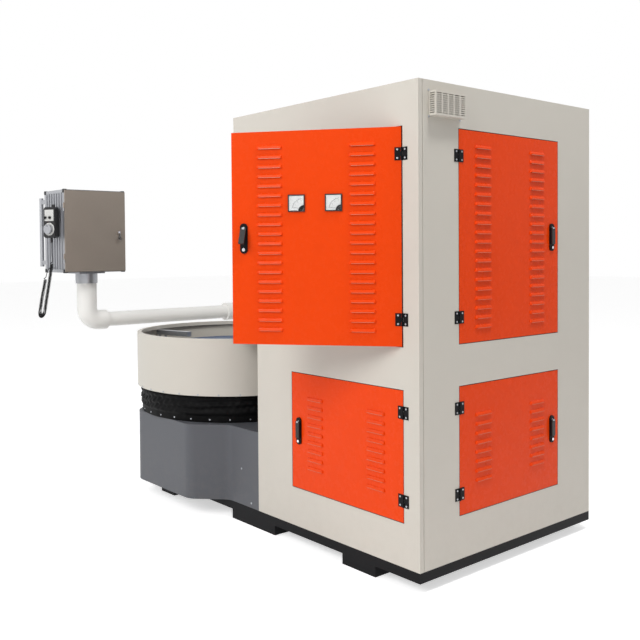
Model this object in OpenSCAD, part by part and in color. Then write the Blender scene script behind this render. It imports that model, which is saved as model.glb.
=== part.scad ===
/* [Cabinet] */
// Distance from the table's axis to the cabinet's left face
cab_left = 845; // [800:5:900]
// Length of the cabinet
cab_len = 1270; // [1250:5:1400]
// Depth of the cabinet
cab_depth = 1458; // [1400:2:1600]
// Height of the cabinet's roof above the floor
cab_top = 2446; // [2430:2:2600]
// Half the width of the bed, and the distance of the cabinet's front face from the table's axis
bed_half = 450; // [440:2:480]
// Sheet thickness of the cabinet
sheet = 3; // [2:0.5:4]
// Length of the hood over the edge of the splash guard
hood_len = 223; // [200:1:240]
// Height of the hood's lower edge above the floor
hood_bottom = 1120; // [1110:1:1140]
/* [Plinth] */
// Height of the levelling blocks
block_h = 56; // [40:1:60]
// Height of the bed's black slab
slab_h = 51; // [40:1:60]
/* [Doors] */
// Width of every door
door_w = 845; // [800:1:850]
// Lower edge of the two upper doors
upper_door_z = 1178; // [1150:1:1200]
// Distance of the two upper doors' top edge below the roof
upper_door_drop = 214; // [190:1:240]
// Lower edge of the two lower doors
lower_door_z = 325; // [300:1:340]
// Height of the two lower doors
lower_door_h = 640; // [620:1:680]
// Depth of the folded door tray
door_depth = 22; // [18:1:26]
// Gap round each door
door_gap = 4; // [3:0.5:5]
// Distance of the front doors' hinge edge from the cabinet's right face
front_hinge_in = 105; // [95:1:120]
// Distance of the side doors' hinge edge from the cabinet's front face
side_hinge_in = 293; // [280:1:300]
// Angle at which the front upper door stands open
front_door_ajar = 38; // [10:1:80]
/* [Louvers] */
// Length of one louver
louver_len = 113; // [90:1:120]
// Height of one louver
louver_h = 17; // [14:0.5:20]
// How far a louver stands out
louver_out = 9; // [6:0.5:11]
// Distance from louver to louver
louver_pitch = 47.4; // [44:0.1:48]
// Centre of the louver column next to the hinges
louver_near_u = 188; // [170:1:200]
// Centre of the louver column next to the latch
louver_far_u = 650; // [620:1:670]
/* [Table] */
// Outer radius of the splash guard
guard_r = 683; // [660:1:690]
// Lower edge of the splash guard
guard_z = 741; // [730:1:750]
// Upper edge of the splash guard
guard_top = 1098; // [1080:1:1105]
// Radius of the magnetic chuck
chuck_r = 500; // [450:5:520]
// Height of the chuck's face above the floor
chuck_top = 1000; // [980:1:1005]
// Thickness of the magnetic chuck
chuck_t = 70; // [50:1:80]
/* [Base cover] */
// Distance of the cover's flat sides from the table's axis
cover_apothem = 635; // [625:1:640]
// Height of the cover's top above the floor
cover_top = 571; // [560:1:580]
/* [Grinding head] */
// Radius of the grinding wheel
wheel_r = 250; // [200:5:252]
// Height of the wheel's face above the floor with the head up
wheel_z = 1160; // [1155:1:1170]
// Distance of the wheel's axis from the table's axis with the column back
wheel_x = 940; // [940:1:960]
// Thickness of the abrasive segments
segment_h = 80; // [60:1:90]
// Number of abrasive segments
segments = 10; // [6:1:14]
/* [Pendant arm] */
// Outer radius of the arm's tube
arm_r = 55; // [50:1:60]
// Height of the arm's tube above the floor
arm_z = 1135; // [1100:1:1140]
// Distance of the arm's long tube from the table's axis, to the left
arm_x = 1015; // [980:1:1030]
// Distance of the riser in front of the table's axis
arm_front = 640; // [600:5:660]
// Distance of the wall tube behind the table's axis
arm_back = 750; // [700:5:800]
/* [Control box] */
// Width of the control box
box_w = 471; // [440:1:500]
// Height of the control box
box_h = 593; // [560:1:620]
// Depth of the control box
box_d = 337; // [300:1:350]
// Lower edge of the control box above the floor
box_z = 1497; // [1490:1:1510]
/* [Hidden] */
$fn = 64;
// Overrun of every cut
cut = 1;
// Radial clearance of a running fit
run_fit = 0.06;
// Clearance between flat faces that slide
slide_gap = 0.3;
// Root of a fused detail inside its sheet
root = 1;
// Main levels and faces
slab_z = block_h;
skin_z = block_h + slab_h;
cab_right = cab_left + cab_len;
front_y = -bed_half;
rear_y = front_y + cab_depth;
inner_top = cab_top - sheet;
upper_door_h = cab_top - upper_door_drop - upper_door_z;
black = [0.10, 0.10, 0.11];
cream = [0.82, 0.80, 0.76];
orange = [0.95, 0.28, 0.06];
grey = [0.36, 0.38, 0.40];
iron = [0.45, 0.47, 0.49];
steel = [0.75, 0.76, 0.78];

// One rounded corner of an outline: b is the corner, a and c its neighbours, r the radius
function unit2(v) = v / norm(v);
function corner(a, b, c, r, n) =
    let (u = unit2(a - b), w = unit2(c - b), half = acos(u * w) / 2, reach = r / tan(half),
        mid = b + unit2(u + w) * r / sin(half), start = b + u * reach - mid, end = b + w * reach - mid,
        a0 = atan2(start.y, start.x), raw = atan2(end.y, end.x) - a0,
        sweep = raw > 180 ? raw - 360 : raw < -180 ? raw + 360 : raw)
    [for (i = [0:n]) mid + r * [cos(a0 + sweep * i / n), sin(a0 + sweep * i / n)]];
function rounded(pts, radii, n) =
    [for (i = [0:len(pts) - 1]) let (k = len(pts))
        each radii[i] == 0 ? [pts[i]] : corner(pts[(i + k - 1) % k], pts[i], pts[(i + 1) % k], radii[i], n)];

module block(low, high) {
    translate(low) cube(high - low);
}
module rod(r, z0, z1) {
    translate([0, 0, z0]) cylinder(r = r, h = z1 - z0);
}
module tube(outer, inner, z0, z1) {
    difference() {
        rod(outer, z0, z1);
        rod(inner, z0 - cut, z1 + cut);
    }
}

// Bed: slab under the whole machine and the raised way beam in the cabinet
slab_apothem = 500;
way_left = cab_left + 20;
way_margin = 140;
way_len = cab_len - way_margin;
way_half = 300;
way_top = 600;
way_wall = 45;
octagon_share = tan(22.5);
function octagon(a) = [for (s = [[-1, -octagon_share], [-octagon_share, -1], [octagon_share, -1], [1,
    -octagon_share],
    [1, octagon_share], [octagon_share, 1], [-octagon_share, 1], [-1, octagon_share]]) a * s];
module machine_bed() {
    color(black) {
        translate([0, 0, slab_z]) linear_extrude(slab_h) {
            polygon(octagon(slab_apothem));
            translate([0, front_y]) square([cab_left, 2 * bed_half]);
            translate([cab_left, front_y]) square([cab_len, cab_depth]);
        }
        difference() {
            block([way_left, -way_half, skin_z - cut], [way_left + way_len, way_half, way_top]);
            block([way_left - cut, way_wall - way_half, skin_z], [way_left + way_len + cut,
                way_half - way_wall,
                way_top - way_wall]);
        }
    }
}

// Levelling blocks: [x start, x length, y start, y length]
long_block = 424;
short_block = 244;
drum_block = 164;
block_w = 180;
long_block_x = 574;
short_block_in = 544;
short_block_x = cab_right - short_block_in;
drum_block_x = -228;
drum_block_y = -480;
centre_block = 120;
module levelling_blocks() {
    color(black) {
        for (b = [[long_block_x, long_block], [short_block_x, short_block]])
            block([b[0], front_y, 0], [b[0] + b[1], front_y + block_w, block_h]);
        block([long_block_x, bed_half - block_w, 0], [cab_left, bed_half, block_h]);
        for (x = [cab_left + block_w, cab_right - short_block - block_w])
            block([x, rear_y - block_w, 0], [x + short_block, rear_y, block_h]);
        for (y = [drum_block_y, -drum_block_y - block_w])
            block([drum_block_x, y, 0], [drum_block_x + drum_block, y + block_w, block_h]);
        rod(centre_block, 0, block_h);
    }
}

// Grey cover round the table's base, with the neck that runs into the cabinet
cover_wall = 4;
cover_corner_r = 110;
cover_shoulder = 104;
cover_hole_r = 345;
collar_ring_r = 648;
collar_ring_t = 6;
collar_ring_h = 36;
collar_ring_w = 48;
cover_foot = 470;
neck_corner_r = 90;
cover_near = cover_apothem * octagon_share;
cover_far = cover_near + cover_shoulder;
cover_step = cover_apothem - bed_half;
function cover_points(inset) = [
    [inset - cover_apothem, inset * octagon_share - cover_near], [inset * octagon_share - cover_near,
        inset - cover_apothem],
    [cover_far - inset * octagon_share, inset - cover_apothem],
        [cover_far + cover_step - inset * octagon_share, inset - bed_half],
    [cab_left - inset, inset - bed_half], [cab_left - inset, bed_half - inset],
    [cover_far + cover_step - inset * octagon_share, bed_half - inset], [cover_far - inset * octagon_share,
        cover_apothem - inset],
    [inset * octagon_share - cover_near, cover_apothem - inset], [inset - cover_apothem,
        cover_near - inset * octagon_share]];
function cover_outline(inset) = rounded(cover_points(inset),
    [cover_corner_r, cover_corner_r, cover_corner_r, neck_corner_r, 0, 0, neck_corner_r, cover_corner_r,
        cover_corner_r, cover_corner_r], 6);
module table_base_cover() {
    color(grey) {
        tube(collar_ring_r, collar_ring_r - collar_ring_w, cover_top, cover_top + cover_wall, $fn = 96);
        tube(collar_ring_r, collar_ring_r - collar_ring_t, cover_top, cover_top + collar_ring_h, $fn = 96);
    }
    color(grey) difference() {
        translate([0, 0, skin_z]) linear_extrude(cover_top - skin_z) polygon(cover_outline(0));
        translate([0, 0, skin_z + cover_wall]) linear_extrude(cover_top - skin_z - 2 * cover_wall)
            polygon(cover_outline(cover_wall));
        rod(cover_hole_r, cover_top - 2 * cover_wall, cover_top + cut);
        rod(cover_foot, skin_z - cut, skin_z + 2 * cover_wall);
    }
}

// Pedestal that carries the table's spindle
pedestal_r = 330;
pedestal_wall = 40;
pedestal_base_t = 23;
pedestal_plate_z = 640;
pedestal_head_r = 360;
pedestal_head_t = 45;
pan_t = 5;
pedestal_top = guard_z + pan_t;
hub_r = 130;
hub_h = 150;
spindle_foot_r = 80;
spindle_r = 110;
window_w = 220;
window_h = 260;
window_z = 200;
pedestal_floor = skin_z + pedestal_base_t;
module table_pedestal() {
    color(iron) difference() {
        rotate_extrude($fn = 96) polygon([[spindle_foot_r + run_fit, skin_z], [pedestal_r, skin_z],
            [pedestal_r, pedestal_top - pedestal_head_t], [pedestal_head_r, pedestal_top - pedestal_head_t],
            [pedestal_head_r, pedestal_top], [spindle_r + run_fit, pedestal_top], [spindle_r + run_fit,
                pedestal_plate_z],
            [pedestal_r - pedestal_wall, pedestal_plate_z], [pedestal_r - pedestal_wall, pedestal_floor],
            [hub_r, pedestal_floor], [hub_r, skin_z + hub_h], [spindle_foot_r + run_fit, skin_z + hub_h]]);
        for (side = [-1, 1])
            block([-window_w / 2, side > 0 ? pedestal_r - 2 * pedestal_wall : -pedestal_r - cut, window_z],
                [window_w / 2, side > 0 ? pedestal_r + cut : 2 * pedestal_wall - pedestal_r,
                    window_z + window_h]);
    }
}

// Splash guard ring with a foot flange and a rolled lip
guard_wall = 5;
guard_foot = 45;
guard_lip = 28;
guard_lip_drop = 25;
module splash_guard() {
    color(cream) rotate_extrude($fn = 144) polygon([[guard_r - guard_foot, guard_z], [guard_r, guard_z],
        [guard_r, guard_top], [guard_r - guard_lip, guard_top], [guard_r - guard_lip,
            guard_top - guard_lip_drop],
        [guard_r - guard_lip + sheet, guard_top - guard_lip_drop], [guard_r - guard_lip + sheet,
            guard_top - guard_wall],
        [guard_r - guard_wall, guard_top - guard_wall], [guard_r - guard_wall, guard_z + guard_wall],
        [guard_r - guard_foot, guard_z + guard_wall]]);
}

// Coolant pan inside the guard, with an upstand under the table and a drain
pan_r = guard_r - guard_wall - slide_gap;
pan_inner_r = 300;
pan_lip_h = 60;
drain_r = 30;
drain_at = 520;
module coolant_pan() {
    color(cream) difference() {
        rotate_extrude($fn = 144) polygon([[pan_inner_r, pedestal_top], [pan_r, pedestal_top],
            [pan_r, pedestal_top + pan_t], [pan_inner_r + pan_t, pedestal_top + pan_t],
            [pan_inner_r + pan_t, pedestal_top + pan_lip_h], [pan_inner_r, pedestal_top + pan_lip_h]]);
        translate([drain_at, 0, 0]) rod(drain_r, pedestal_top - cut, pedestal_top + 2 * pan_t);
    }
}

// Pleated dust skirt between the cover and the guard, and its clamped hem
skirt_t = 3;
skirt_fold = 12;
skirt_folds = 3;
skirt_steps = 24;
skirt_low = cover_top + collar_ring_h;
skirt_h = guard_z - skirt_low;
function skirt_r(k) = collar_ring_r + slide_gap + skirt_t + skirt_fold * (1 - cos(360 * skirt_folds * k)) / 2;
module dust_skirt() {
    color(black) rotate_extrude($fn = 96) polygon(concat([[skirt_r(0) - skirt_t, cover_top], [skirt_r(0),
        cover_top]],
        [for (i = [0:skirt_steps]) [skirt_r(i / skirt_steps), skirt_low + skirt_h * i / skirt_steps]],
        [for (i = [skirt_steps:-1:0]) [skirt_r(i / skirt_steps) - skirt_t,
            skirt_low + skirt_h * i / skirt_steps]]));
}

// Flat coolant manifold on two posts inside the guard
manifold_len = 305;
manifold_t = 34;
manifold_w = 40;
manifold_post_r = 9;
manifold_z = 1036;
manifold_turn = 15;
manifold_mid = [-445, -240];
manifold_posts = [-140, -80];
nozzle_r = 5;
nozzle_h = 14;
nozzles = 5;
module coolant_manifold() {
    color(steel) translate(concat(manifold_mid, 0)) rotate([0, 0, manifold_turn]) {
        block([-manifold_len / 2, -manifold_w / 2, manifold_z], [manifold_len / 2, manifold_w / 2,
            manifold_z + manifold_t]);
        for (x = manifold_posts) translate([x, 0, 0])
            rod(manifold_post_r, pedestal_top + pan_t, manifold_z + root);
        for (i = [0:nozzles - 1])
            translate([(i - (nozzles - 1) / 2) * manifold_len / (nozzles + 1), manifold_w / 2 - root,
                manifold_z + manifold_t / 2])
                rotate([-90, 0, 0]) cylinder(r = nozzle_r, h = nozzle_h, $fn = 24);
    }
}

// Gear train of the table: spur gears with straight flanks, both drawn from the same module
gear_module = 6;
bull_teeth = 60;
pinion_teeth = 15;
gear_z = 520;
gear_h = 50;
backlash_share = 0.91;
bull_pitch_r = gear_module * bull_teeth / 2;
pinion_pitch_r = gear_module * pinion_teeth / 2;
gear_distance = bull_pitch_r + pinion_pitch_r;
// Shares of half a tooth's angle at root, pitch circle and tip, and their radii in modules
flank_angle_shares = [0.80, 0.50, 0.24];
flank_depth_shares = [-1.15, 0, 0.95];
function gear_outline(teeth, pitch_r) = [for (i = [0:teeth - 1]) for (side = [-1, 1])
    for (k = side < 0 ? [0, 1, 2] : [2, 1, 0])
        let (a = 360 / teeth * (i + side * flank_angle_shares[k] * backlash_share / 2),
            r = pitch_r + gear_module * flank_depth_shares[k])
        r * [cos(a), sin(a)]];
module spur_gear(teeth, pitch_r) {
    translate([0, 0, gear_z]) linear_extrude(gear_h) polygon(gear_outline(teeth, pitch_r));
}
module bull_gear() {
    color(steel) difference() {
        spur_gear(bull_teeth, bull_pitch_r);
        rod(spindle_foot_r, gear_z - cut, gear_z + gear_h + cut);
    }
}
pinion_shaft_r = 18;
pinion_nose = 12;
module motor_pinion() {
    color(steel) translate([gear_distance, 0, 0]) {
        rotate([0, 0, 180 + 180 / pinion_teeth]) spur_gear(pinion_teeth, pinion_pitch_r);
        rod(pinion_shaft_r, table_motor_top - motor_socket, gear_z + gear_h + pinion_nose);
    }
}
table_motor_r = 60;
table_motor_top = 480;
motor_socket = 40;
motor_flange = 16;
motor_flange_r = 62;
module table_motor() {
    color(grey) translate([gear_distance, 0, 0]) difference() {
        union() {
            rod(table_motor_r, pedestal_floor, table_motor_top);
            rod(motor_flange_r, table_motor_top - motor_flange, table_motor_top);
        }
        rod(pinion_shaft_r + run_fit, table_motor_top - motor_socket - slide_gap, table_motor_top + cut);
    }
}

// Table spindle with its faceplate
plate_r = 470;
plate_t = 60;
plate_rib = 40;
spindle_step_z = 600;
spindle_foot_z = 140;
plate_neck_r = 230;
chuck_low = chuck_top - chuck_t;
module table_spindle() {
    color(iron) rotate_extrude($fn = 96) polygon([[0, spindle_foot_z], [spindle_foot_r, spindle_foot_z],
        [spindle_foot_r, spindle_step_z], [spindle_r, spindle_step_z], [spindle_r, pedestal_top + plate_rib],
        [plate_neck_r, pedestal_top + plate_rib], [plate_neck_r + plate_rib, chuck_low - plate_t],
        [plate_r, chuck_low - plate_t], [plate_r, chuck_low], [0, chuck_low]]);
}

// Magnetic chuck: pole rings and a pilot bore
pole_rings = 7;
pole_groove = 6;
pole_depth = 3;
pole_first_r = 90;
pilot_r = 30;
pilot_depth = 40;
module magnetic_chuck() {
    color([0.16, 0.24, 0.40]) difference() {
        rod(chuck_r, chuck_low, chuck_top, $fn = 144);
        rod(pilot_r, chuck_top - pilot_depth, chuck_top + cut);
        for (i = [0:pole_rings - 1]) let (r = pole_first_r + i * (chuck_r - pole_first_r) / pole_rings)
            tube(r + pole_groove, r, chuck_top - pole_depth, chuck_top + cut);
    }
}

// Welded frame of the cabinet
post = 40;
rail_low = skin_z + post;
post_x = [cab_left + sheet, cab_right - sheet - post];
post_y = [front_y + sheet, rear_y - sheet - post];
module cabinet_frame() {
    color(cream) {
        for (x = post_x) for (y = post_y) block([x, y, skin_z], [x + post, y + post, inner_top]);
        for (y = post_y) block([post_x[0], y, inner_top - post], [post_x[1] + post, y + post, inner_top]);
        for (x = post_x) block([x, post_y[0], inner_top - post], [x + post, post_y[1] + post, inner_top]);
        block([post_x[0], post_y[1], skin_z], [post_x[1] + post, post_y[1] + post, rail_low]);
    }
}

// Frames of the two walls that carry doors. Each door frame is drawn in the door's own coordinates:
// x from the hinge edge, y out of the cabinet, z up.
door_flange = 24;
front_hinge_x = cab_right - front_hinge_in;
side_hinge_y = front_y + side_hinge_in;
module on_front() {
    translate([front_hinge_x, front_y, 0]) rotate([0, 0, 180]) children();
}
module on_side() {
    translate([cab_right, side_hinge_y, 0]) rotate([0, 0, 90]) mirror([0, 1, 0]) children();
}
module door_hole(z, h) {
    block([-door_gap, -door_flange - cut, z - door_gap], [door_w + door_gap, cut, z + h + door_gap]);
}
module door_frame(z, h) {
    edge = door_gap + sheet;
    block([-edge, -door_flange, z - edge], [door_w + edge, 0, z + h + edge]);
}
module two_frames() {
    door_frame(upper_door_z, upper_door_h);
    door_frame(lower_door_z, lower_door_h);
}
module two_holes() {
    door_hole(upper_door_z, upper_door_h);
    door_hole(lower_door_z, lower_door_h);
}
corner_wrap = 27;
seam = 3;
module front_panel() {
    color(cream) difference() {
        union() {
            block([cab_left, front_y, skin_z], [cab_right, front_y + sheet, inner_top]);
            block([cab_right - sheet, front_y, skin_z], [cab_right, front_y + corner_wrap, inner_top]);
            on_front() two_frames();
        }
        on_front() two_holes();
    }
}
module side_panel() {
    color(cream) difference() {
        union() {
            block([cab_right - sheet, front_y + corner_wrap + seam, skin_z], [cab_right, rear_y, inner_top]);
            on_side() two_frames();
        }
        on_side() two_holes();
    }
}
// Rear wall with two louvered vents near its top
rear_vent_drop = 546;
rear_vent_z = cab_top - rear_vent_drop;
rear_vent_rows = 8;
module rear_panel() {
    color(cream) {
        difference() {
            block([cab_left, rear_y - sheet, skin_z], [cab_right - sheet, rear_y, inner_top]);
            translate([cab_left + (cab_len - door_w) / 2, rear_y, 0]) louver_back_slots(rear_vent_z,
                rear_vent_rows);
        }
        translate([cab_left + (cab_len - door_w) / 2, rear_y, 0]) louver_hoods(rear_vent_z, rear_vent_rows);
    }
}
// Left wall with the opening for the grinding head
head_hole_half = 420;
head_hole_low = 980;
head_hole_drop = 66;
head_hole_top = cab_top - head_hole_drop;
module left_panel() {
    color(cream) difference() {
        block([cab_left, front_y + sheet, skin_z], [cab_left + sheet, rear_y - sheet, inner_top]);
        block([cab_left - cut, -head_hole_half, head_hole_low], [cab_left + sheet + cut, head_hole_half,
            head_hole_top]);
    }
}
module roof_panel() {
    color(cream) block([cab_left, front_y, inner_top], [cab_right, rear_y, cab_top]);
}
// Hood over the guard's edge, open below and to the left
hood_brow = 160;
module head_hood() {
    color(cream) difference() {
        block([cab_left - hood_len, -bed_half, hood_bottom], [cab_left, bed_half, cab_top]);
        block([cab_left - hood_len + sheet, sheet - bed_half, hood_bottom - cut], [cab_left + cut,
            bed_half - sheet,
            cab_top - sheet]);
        block([cab_left - hood_len - cut, -head_hole_half, hood_bottom - cut],
            [cab_left - hood_len + 2 * sheet,
            head_hole_half, cab_top - hood_brow]);
    }
}

// Slotted exhaust box on the side wall
vent_w = 242;
vent_h = 138;
vent_inset = 10;
vent_out = 45;
vent_t = 2;
vent_in = 63;
vent_over_door = 34;
vent_z = upper_door_z + upper_door_h + vent_over_door;
vent_rows = 10;
vent_columns = 5;
vent_slot_h = 5;
vent_bar = 8;
module exhaust_vent() {
    slot_w = (vent_w - 2 * vent_inset - (vent_columns + 1) * vent_bar) / vent_columns;
    row = (vent_h - 2 * vent_inset - 2 * vent_bar) / vent_rows;
    color(cream) translate([cab_right, front_y + vent_in, vent_z]) difference() {
        union() {
            cube([vent_t, vent_w, vent_h]);
            translate([0, vent_inset, vent_inset]) cube([vent_out, vent_w - 2 * vent_inset,
                vent_h - 2 * vent_inset]);
        }
        translate([-cut, vent_inset + vent_t, vent_inset + vent_t])
            cube([vent_out + cut - vent_t, vent_w - 2 * (vent_inset + vent_t),
                vent_h - 2 * (vent_inset + vent_t)]);
        for (i = [0:vent_rows - 1]) let (z = vent_inset + vent_bar + (i + 1 / 2) * row - vent_slot_h / 2) {
            for (j = [0:vent_columns - 1])
                translate([vent_out - 2 * vent_t, vent_inset + vent_bar + j * (slot_w + vent_bar), z])
                    cube([vent_out, slot_w, vent_slot_h]);
            translate([vent_bar, -cut, z]) cube([vent_out - 2 * vent_bar, vent_w + 2 * cut, vent_slot_h]);
        }
    }
}

// Rails and drive that carry the column along the bed
rail_w = 34;
rail_h = 40;
rail_y = 230;
rail_end = 10;
way_right = way_left + way_len;
rail_top = way_top + rail_h;
module cross_rails() {
    color(steel) for (side = [-1, 1])
        block([way_left + rail_end, side * rail_y - rail_w / 2, way_top], [way_right - rail_end,
            side * rail_y + rail_w / 2,
            rail_top]);
}
screw_r = 12;
screw_z = way_top + 22;
screw_bearing = 25;
screw_bearing_w = 60;
screw_right = way_right - 25;
module traverse_screw() {
    color(steel) translate([0, 0, screw_z]) rotate([0, 90, 0]) rod(screw_r, way_left + rail_end, screw_right);
}
servo_len = 90;
servo_w = 44;
module traverse_motor() {
    color(black) difference() {
        union() {
            for (x = [way_left, screw_right - screw_bearing])
                block([x, -screw_bearing_w / 2, way_top], [x + screw_bearing, screw_bearing_w / 2, rail_top]);
            block([screw_right, -servo_w / 2, screw_z - servo_w / 2 + slide_gap], [screw_right + servo_len,
                servo_w / 2,
                screw_z + servo_w / 2]);
        }
        translate([0, 0, screw_z]) rotate([0, 90, 0])
            rod(screw_r + run_fit, way_left - cut, screw_right + slide_gap);
    }
}

// Column with its carriages, vertical rails and screw brackets
head_reach = 560;
column_front = wheel_x + head_reach;
column_back = 185;
column_len = cab_right - column_back - column_front;
column_half = 260;
column_wall = 40;
column_z = rail_top + 5;
column_base_t = 55;
column_drop = 296;
column_top = cab_top - column_drop;
carriage_len = 120;
carriage_w = 90;
base_over = 10;
head_rail_w = 30;
head_rail_h = 35;
head_rail_y = 170;
head_rail_drop = 120;
head_rail_low = wheel_z - head_rail_drop;
bracket_t = 40;
bracket_half = 60;
bracket_out = 50;
feed_r = 14;
feed_x = column_front - 22;
low_bracket_z = head_rail_low + base_over;
nut_half = 30;
nut_len = 80;
module wheel_column() {
    color(grey) difference() {
        union() {
            block([column_front - base_over, -rail_y - carriage_w / 2, column_z],
                [column_front + column_len + base_over, rail_y + carriage_w / 2, column_z + column_base_t]);
            block([column_front, -column_half, column_z], [column_front + column_len, column_half,
                column_top]);
            for (side = [-1, 1]) for (x = [column_front, column_front + column_len - carriage_len])
                block([x, side * rail_y - carriage_w / 2, way_top + base_over], [x + carriage_len,
                    side * rail_y + carriage_w / 2, column_z + root]);
            for (side = [-1, 1])
                block([column_front - head_rail_h, side * head_rail_y - head_rail_w / 2, head_rail_low],
                    [column_front + root, side * head_rail_y + head_rail_w / 2, column_top]);
            for (z = [low_bracket_z, column_top - bracket_t])
                block([column_front - bracket_out, -bracket_half, z], [column_front + root, bracket_half,
                    z + bracket_t]);
            block([column_front + column_len / 2, -nut_half, way_top + slide_gap],
                [column_front + column_len / 2 + nut_len, nut_half, column_z + root]);
        }
        block([column_front + column_wall, column_wall - column_half, column_z + column_base_t],
            [column_front + column_len - column_wall, column_half - column_wall, column_top - column_wall]);
        for (side = [-1, 1])
            block([column_front - base_over - cut, side * rail_y - rail_w / 2 - slide_gap, way_top],
                [column_front + column_len + base_over + cut, side * rail_y + rail_w / 2 + slide_gap,
                    rail_top + slide_gap]);
        translate([feed_x, 0, 0]) rod(feed_r + run_fit, low_bracket_z - cut, column_top + cut);
        translate([0, 0, screw_z]) rotate([0, 90, 0])
            rod(screw_r + run_fit, column_front + column_len / 2 - cut,
                column_front + column_len / 2 + nut_len + cut);
    }
}
module feed_screw() {
    color(steel) translate([feed_x, 0, 0]) rod(feed_r, low_bracket_z, column_top);
}
feed_motor_half = 45;
feed_motor_h = 170;
module feed_motor() {
    color(black) block([feed_x - feed_motor_half, -feed_motor_half, column_top],
        [feed_x + feed_motor_half, feed_motor_half, column_top + feed_motor_h]);
}

// Grinding head: saddle, carriages, arm, barrel and motor
holder_t = 22;
nose_gap = 28;
nose_h = 40;
nose_z = wheel_z + segment_h + holder_t + nose_gap;
head_low = nose_z + nose_h;
head_drop = 496;
head_top = cab_top - head_drop;
head_h = head_top - head_low;
// Shares of the head's height
saddle_low_share = 0.2;
carriage_share = 0.21;
feed_nut_share = 0.16;
spindle_bore_share = 0.69;
head_barrel_r = 190;
head_motor_r = 150;
head_motor_h = 290;
saddle_half = 215;
saddle_t = 45;
saddle_low = head_low + saddle_low_share * head_h;
head_web_half = 150;
nose_r = 110;
spindle_shaft_r = 45;
spindle_bore_top = head_low + spindle_bore_share * head_h;
saddle_x = column_front - head_rail_h - 25;
head_carriage_in = 10;
head_carriage_len = carriage_share * head_h;
head_carriage_w = 80;
feed_nut_h = feed_nut_share * head_h;
fin_step = 26;
fin_t = 10;
fin_count = 9;
fin_out = 12;
module wheel_head() {
    color(grey) difference() {
        union() {
            block([saddle_x - saddle_t, -saddle_half, saddle_low], [saddle_x, saddle_half, head_top]);
            block([wheel_x, -head_web_half, saddle_low], [saddle_x - saddle_t + root, head_web_half,
                head_top - saddle_t]);
            for (side = [-1, 1]) for (z = [saddle_low, head_top - head_carriage_len])
                block([saddle_x - root, side * head_rail_y - head_carriage_w / 2, z],
                    [column_front - head_carriage_in, side * head_rail_y + head_carriage_w / 2,
                        z + head_carriage_len]);
            block([saddle_x - root, -nut_half, saddle_low + head_carriage_len],
                [column_front - slide_gap, nut_half, saddle_low + head_carriage_len + feed_nut_h]);
            translate([wheel_x, 0, 0]) {
                rod(head_barrel_r, head_low, head_top);
                rod(nose_r, nose_z, head_low + root);
                rod(head_motor_r, head_top - root, head_top + head_motor_h);
                for (i = [0:fin_count - 1])
                    rod(head_motor_r + fin_out, head_top + fin_step * (i + 1),
                        head_top + fin_step * (i + 1) + fin_t);
            }
        }
        translate([wheel_x, 0, 0]) rod(spindle_shaft_r + run_fit, nose_z - cut, spindle_bore_top);
        for (side = [-1, 1])
            block([column_front - head_rail_h - slide_gap,
                side * head_rail_y - head_rail_w / 2 - slide_gap, saddle_low - cut],
                [column_front + cut, side * head_rail_y + head_rail_w / 2 + slide_gap, head_top + cut]);
        translate([feed_x, 0, 0]) rod(feed_r + run_fit, saddle_low - cut, head_top + cut);
    }
}
// Spindle with the plate that holds the abrasive segments
holder_neck_r = 80;
holder_rim = 12;
segment_wide = 60;
module grinding_spindle() {
    holder_z = wheel_z + segment_h;
    color(steel) translate([wheel_x, 0, 0]) rotate_extrude($fn = 96) polygon([[0, holder_z], [wheel_r,
        holder_z],
        [wheel_r, holder_z + holder_t], [holder_neck_r, holder_z + holder_t], [holder_neck_r,
            nose_z - slide_gap],
        [spindle_shaft_r, nose_z - slide_gap], [spindle_shaft_r, spindle_bore_top - root], [0,
            spindle_bore_top - root]]);
}
segment_gap = 12;
module grinding_wheel() {
    color([0.55, 0.30, 0.24]) translate([wheel_x, 0, 0]) difference() {
        tube(wheel_r - holder_rim, wheel_r - holder_rim - segment_wide, wheel_z, wheel_z + segment_h);
        for (i = [0:segments - 1]) rotate([0, 0, 360 * i / segments])
            block([0, -segment_gap / 2, wheel_z - cut], [wheel_r + cut, segment_gap / 2,
                wheel_z + segment_h + cut]);
    }
}

// Pressed louvers. The hood of one louver opens downwards.
louver_t = 1.5;
louver_bend = 5;
function louver_arc(h, out) = [for (i = [0:louver_bend]) [out * sin(90 * i / louver_bend),
    h * cos(90 * i / louver_bend)]];
module louver_hood() {
    rotate([90, 0, 90]) {
        linear_extrude(louver_len) polygon(concat([[-sheet, louver_h + root], [0, louver_h + root]],
            louver_arc(louver_h, louver_out), [for (i = [louver_bend:-1:0]) louver_arc(louver_h - louver_t,
                louver_out - louver_t)[i]], [[-sheet, louver_h - louver_t]]));
        for (u = [-root, louver_len - louver_t]) translate([0, 0, u]) linear_extrude(louver_t + root)
            polygon(concat([[-sheet, 0], [-sheet, louver_h]], louver_arc(louver_h, louver_out)));
    }
}
module each_louver(z, rows) {
    for (u = [louver_near_u, louver_far_u]) for (i = [0:rows - 1])
        translate([u - louver_len / 2, 0, z + i * louver_pitch]) children();
}
module louver_hoods(z, rows) {
    each_louver(z, rows) louver_hood();
}
module louver_back_slots(z, rows) {
    each_louver(z, rows) block([0, -sheet - cut, 0], [louver_len, 0, louver_h - louver_t]);
}

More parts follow.
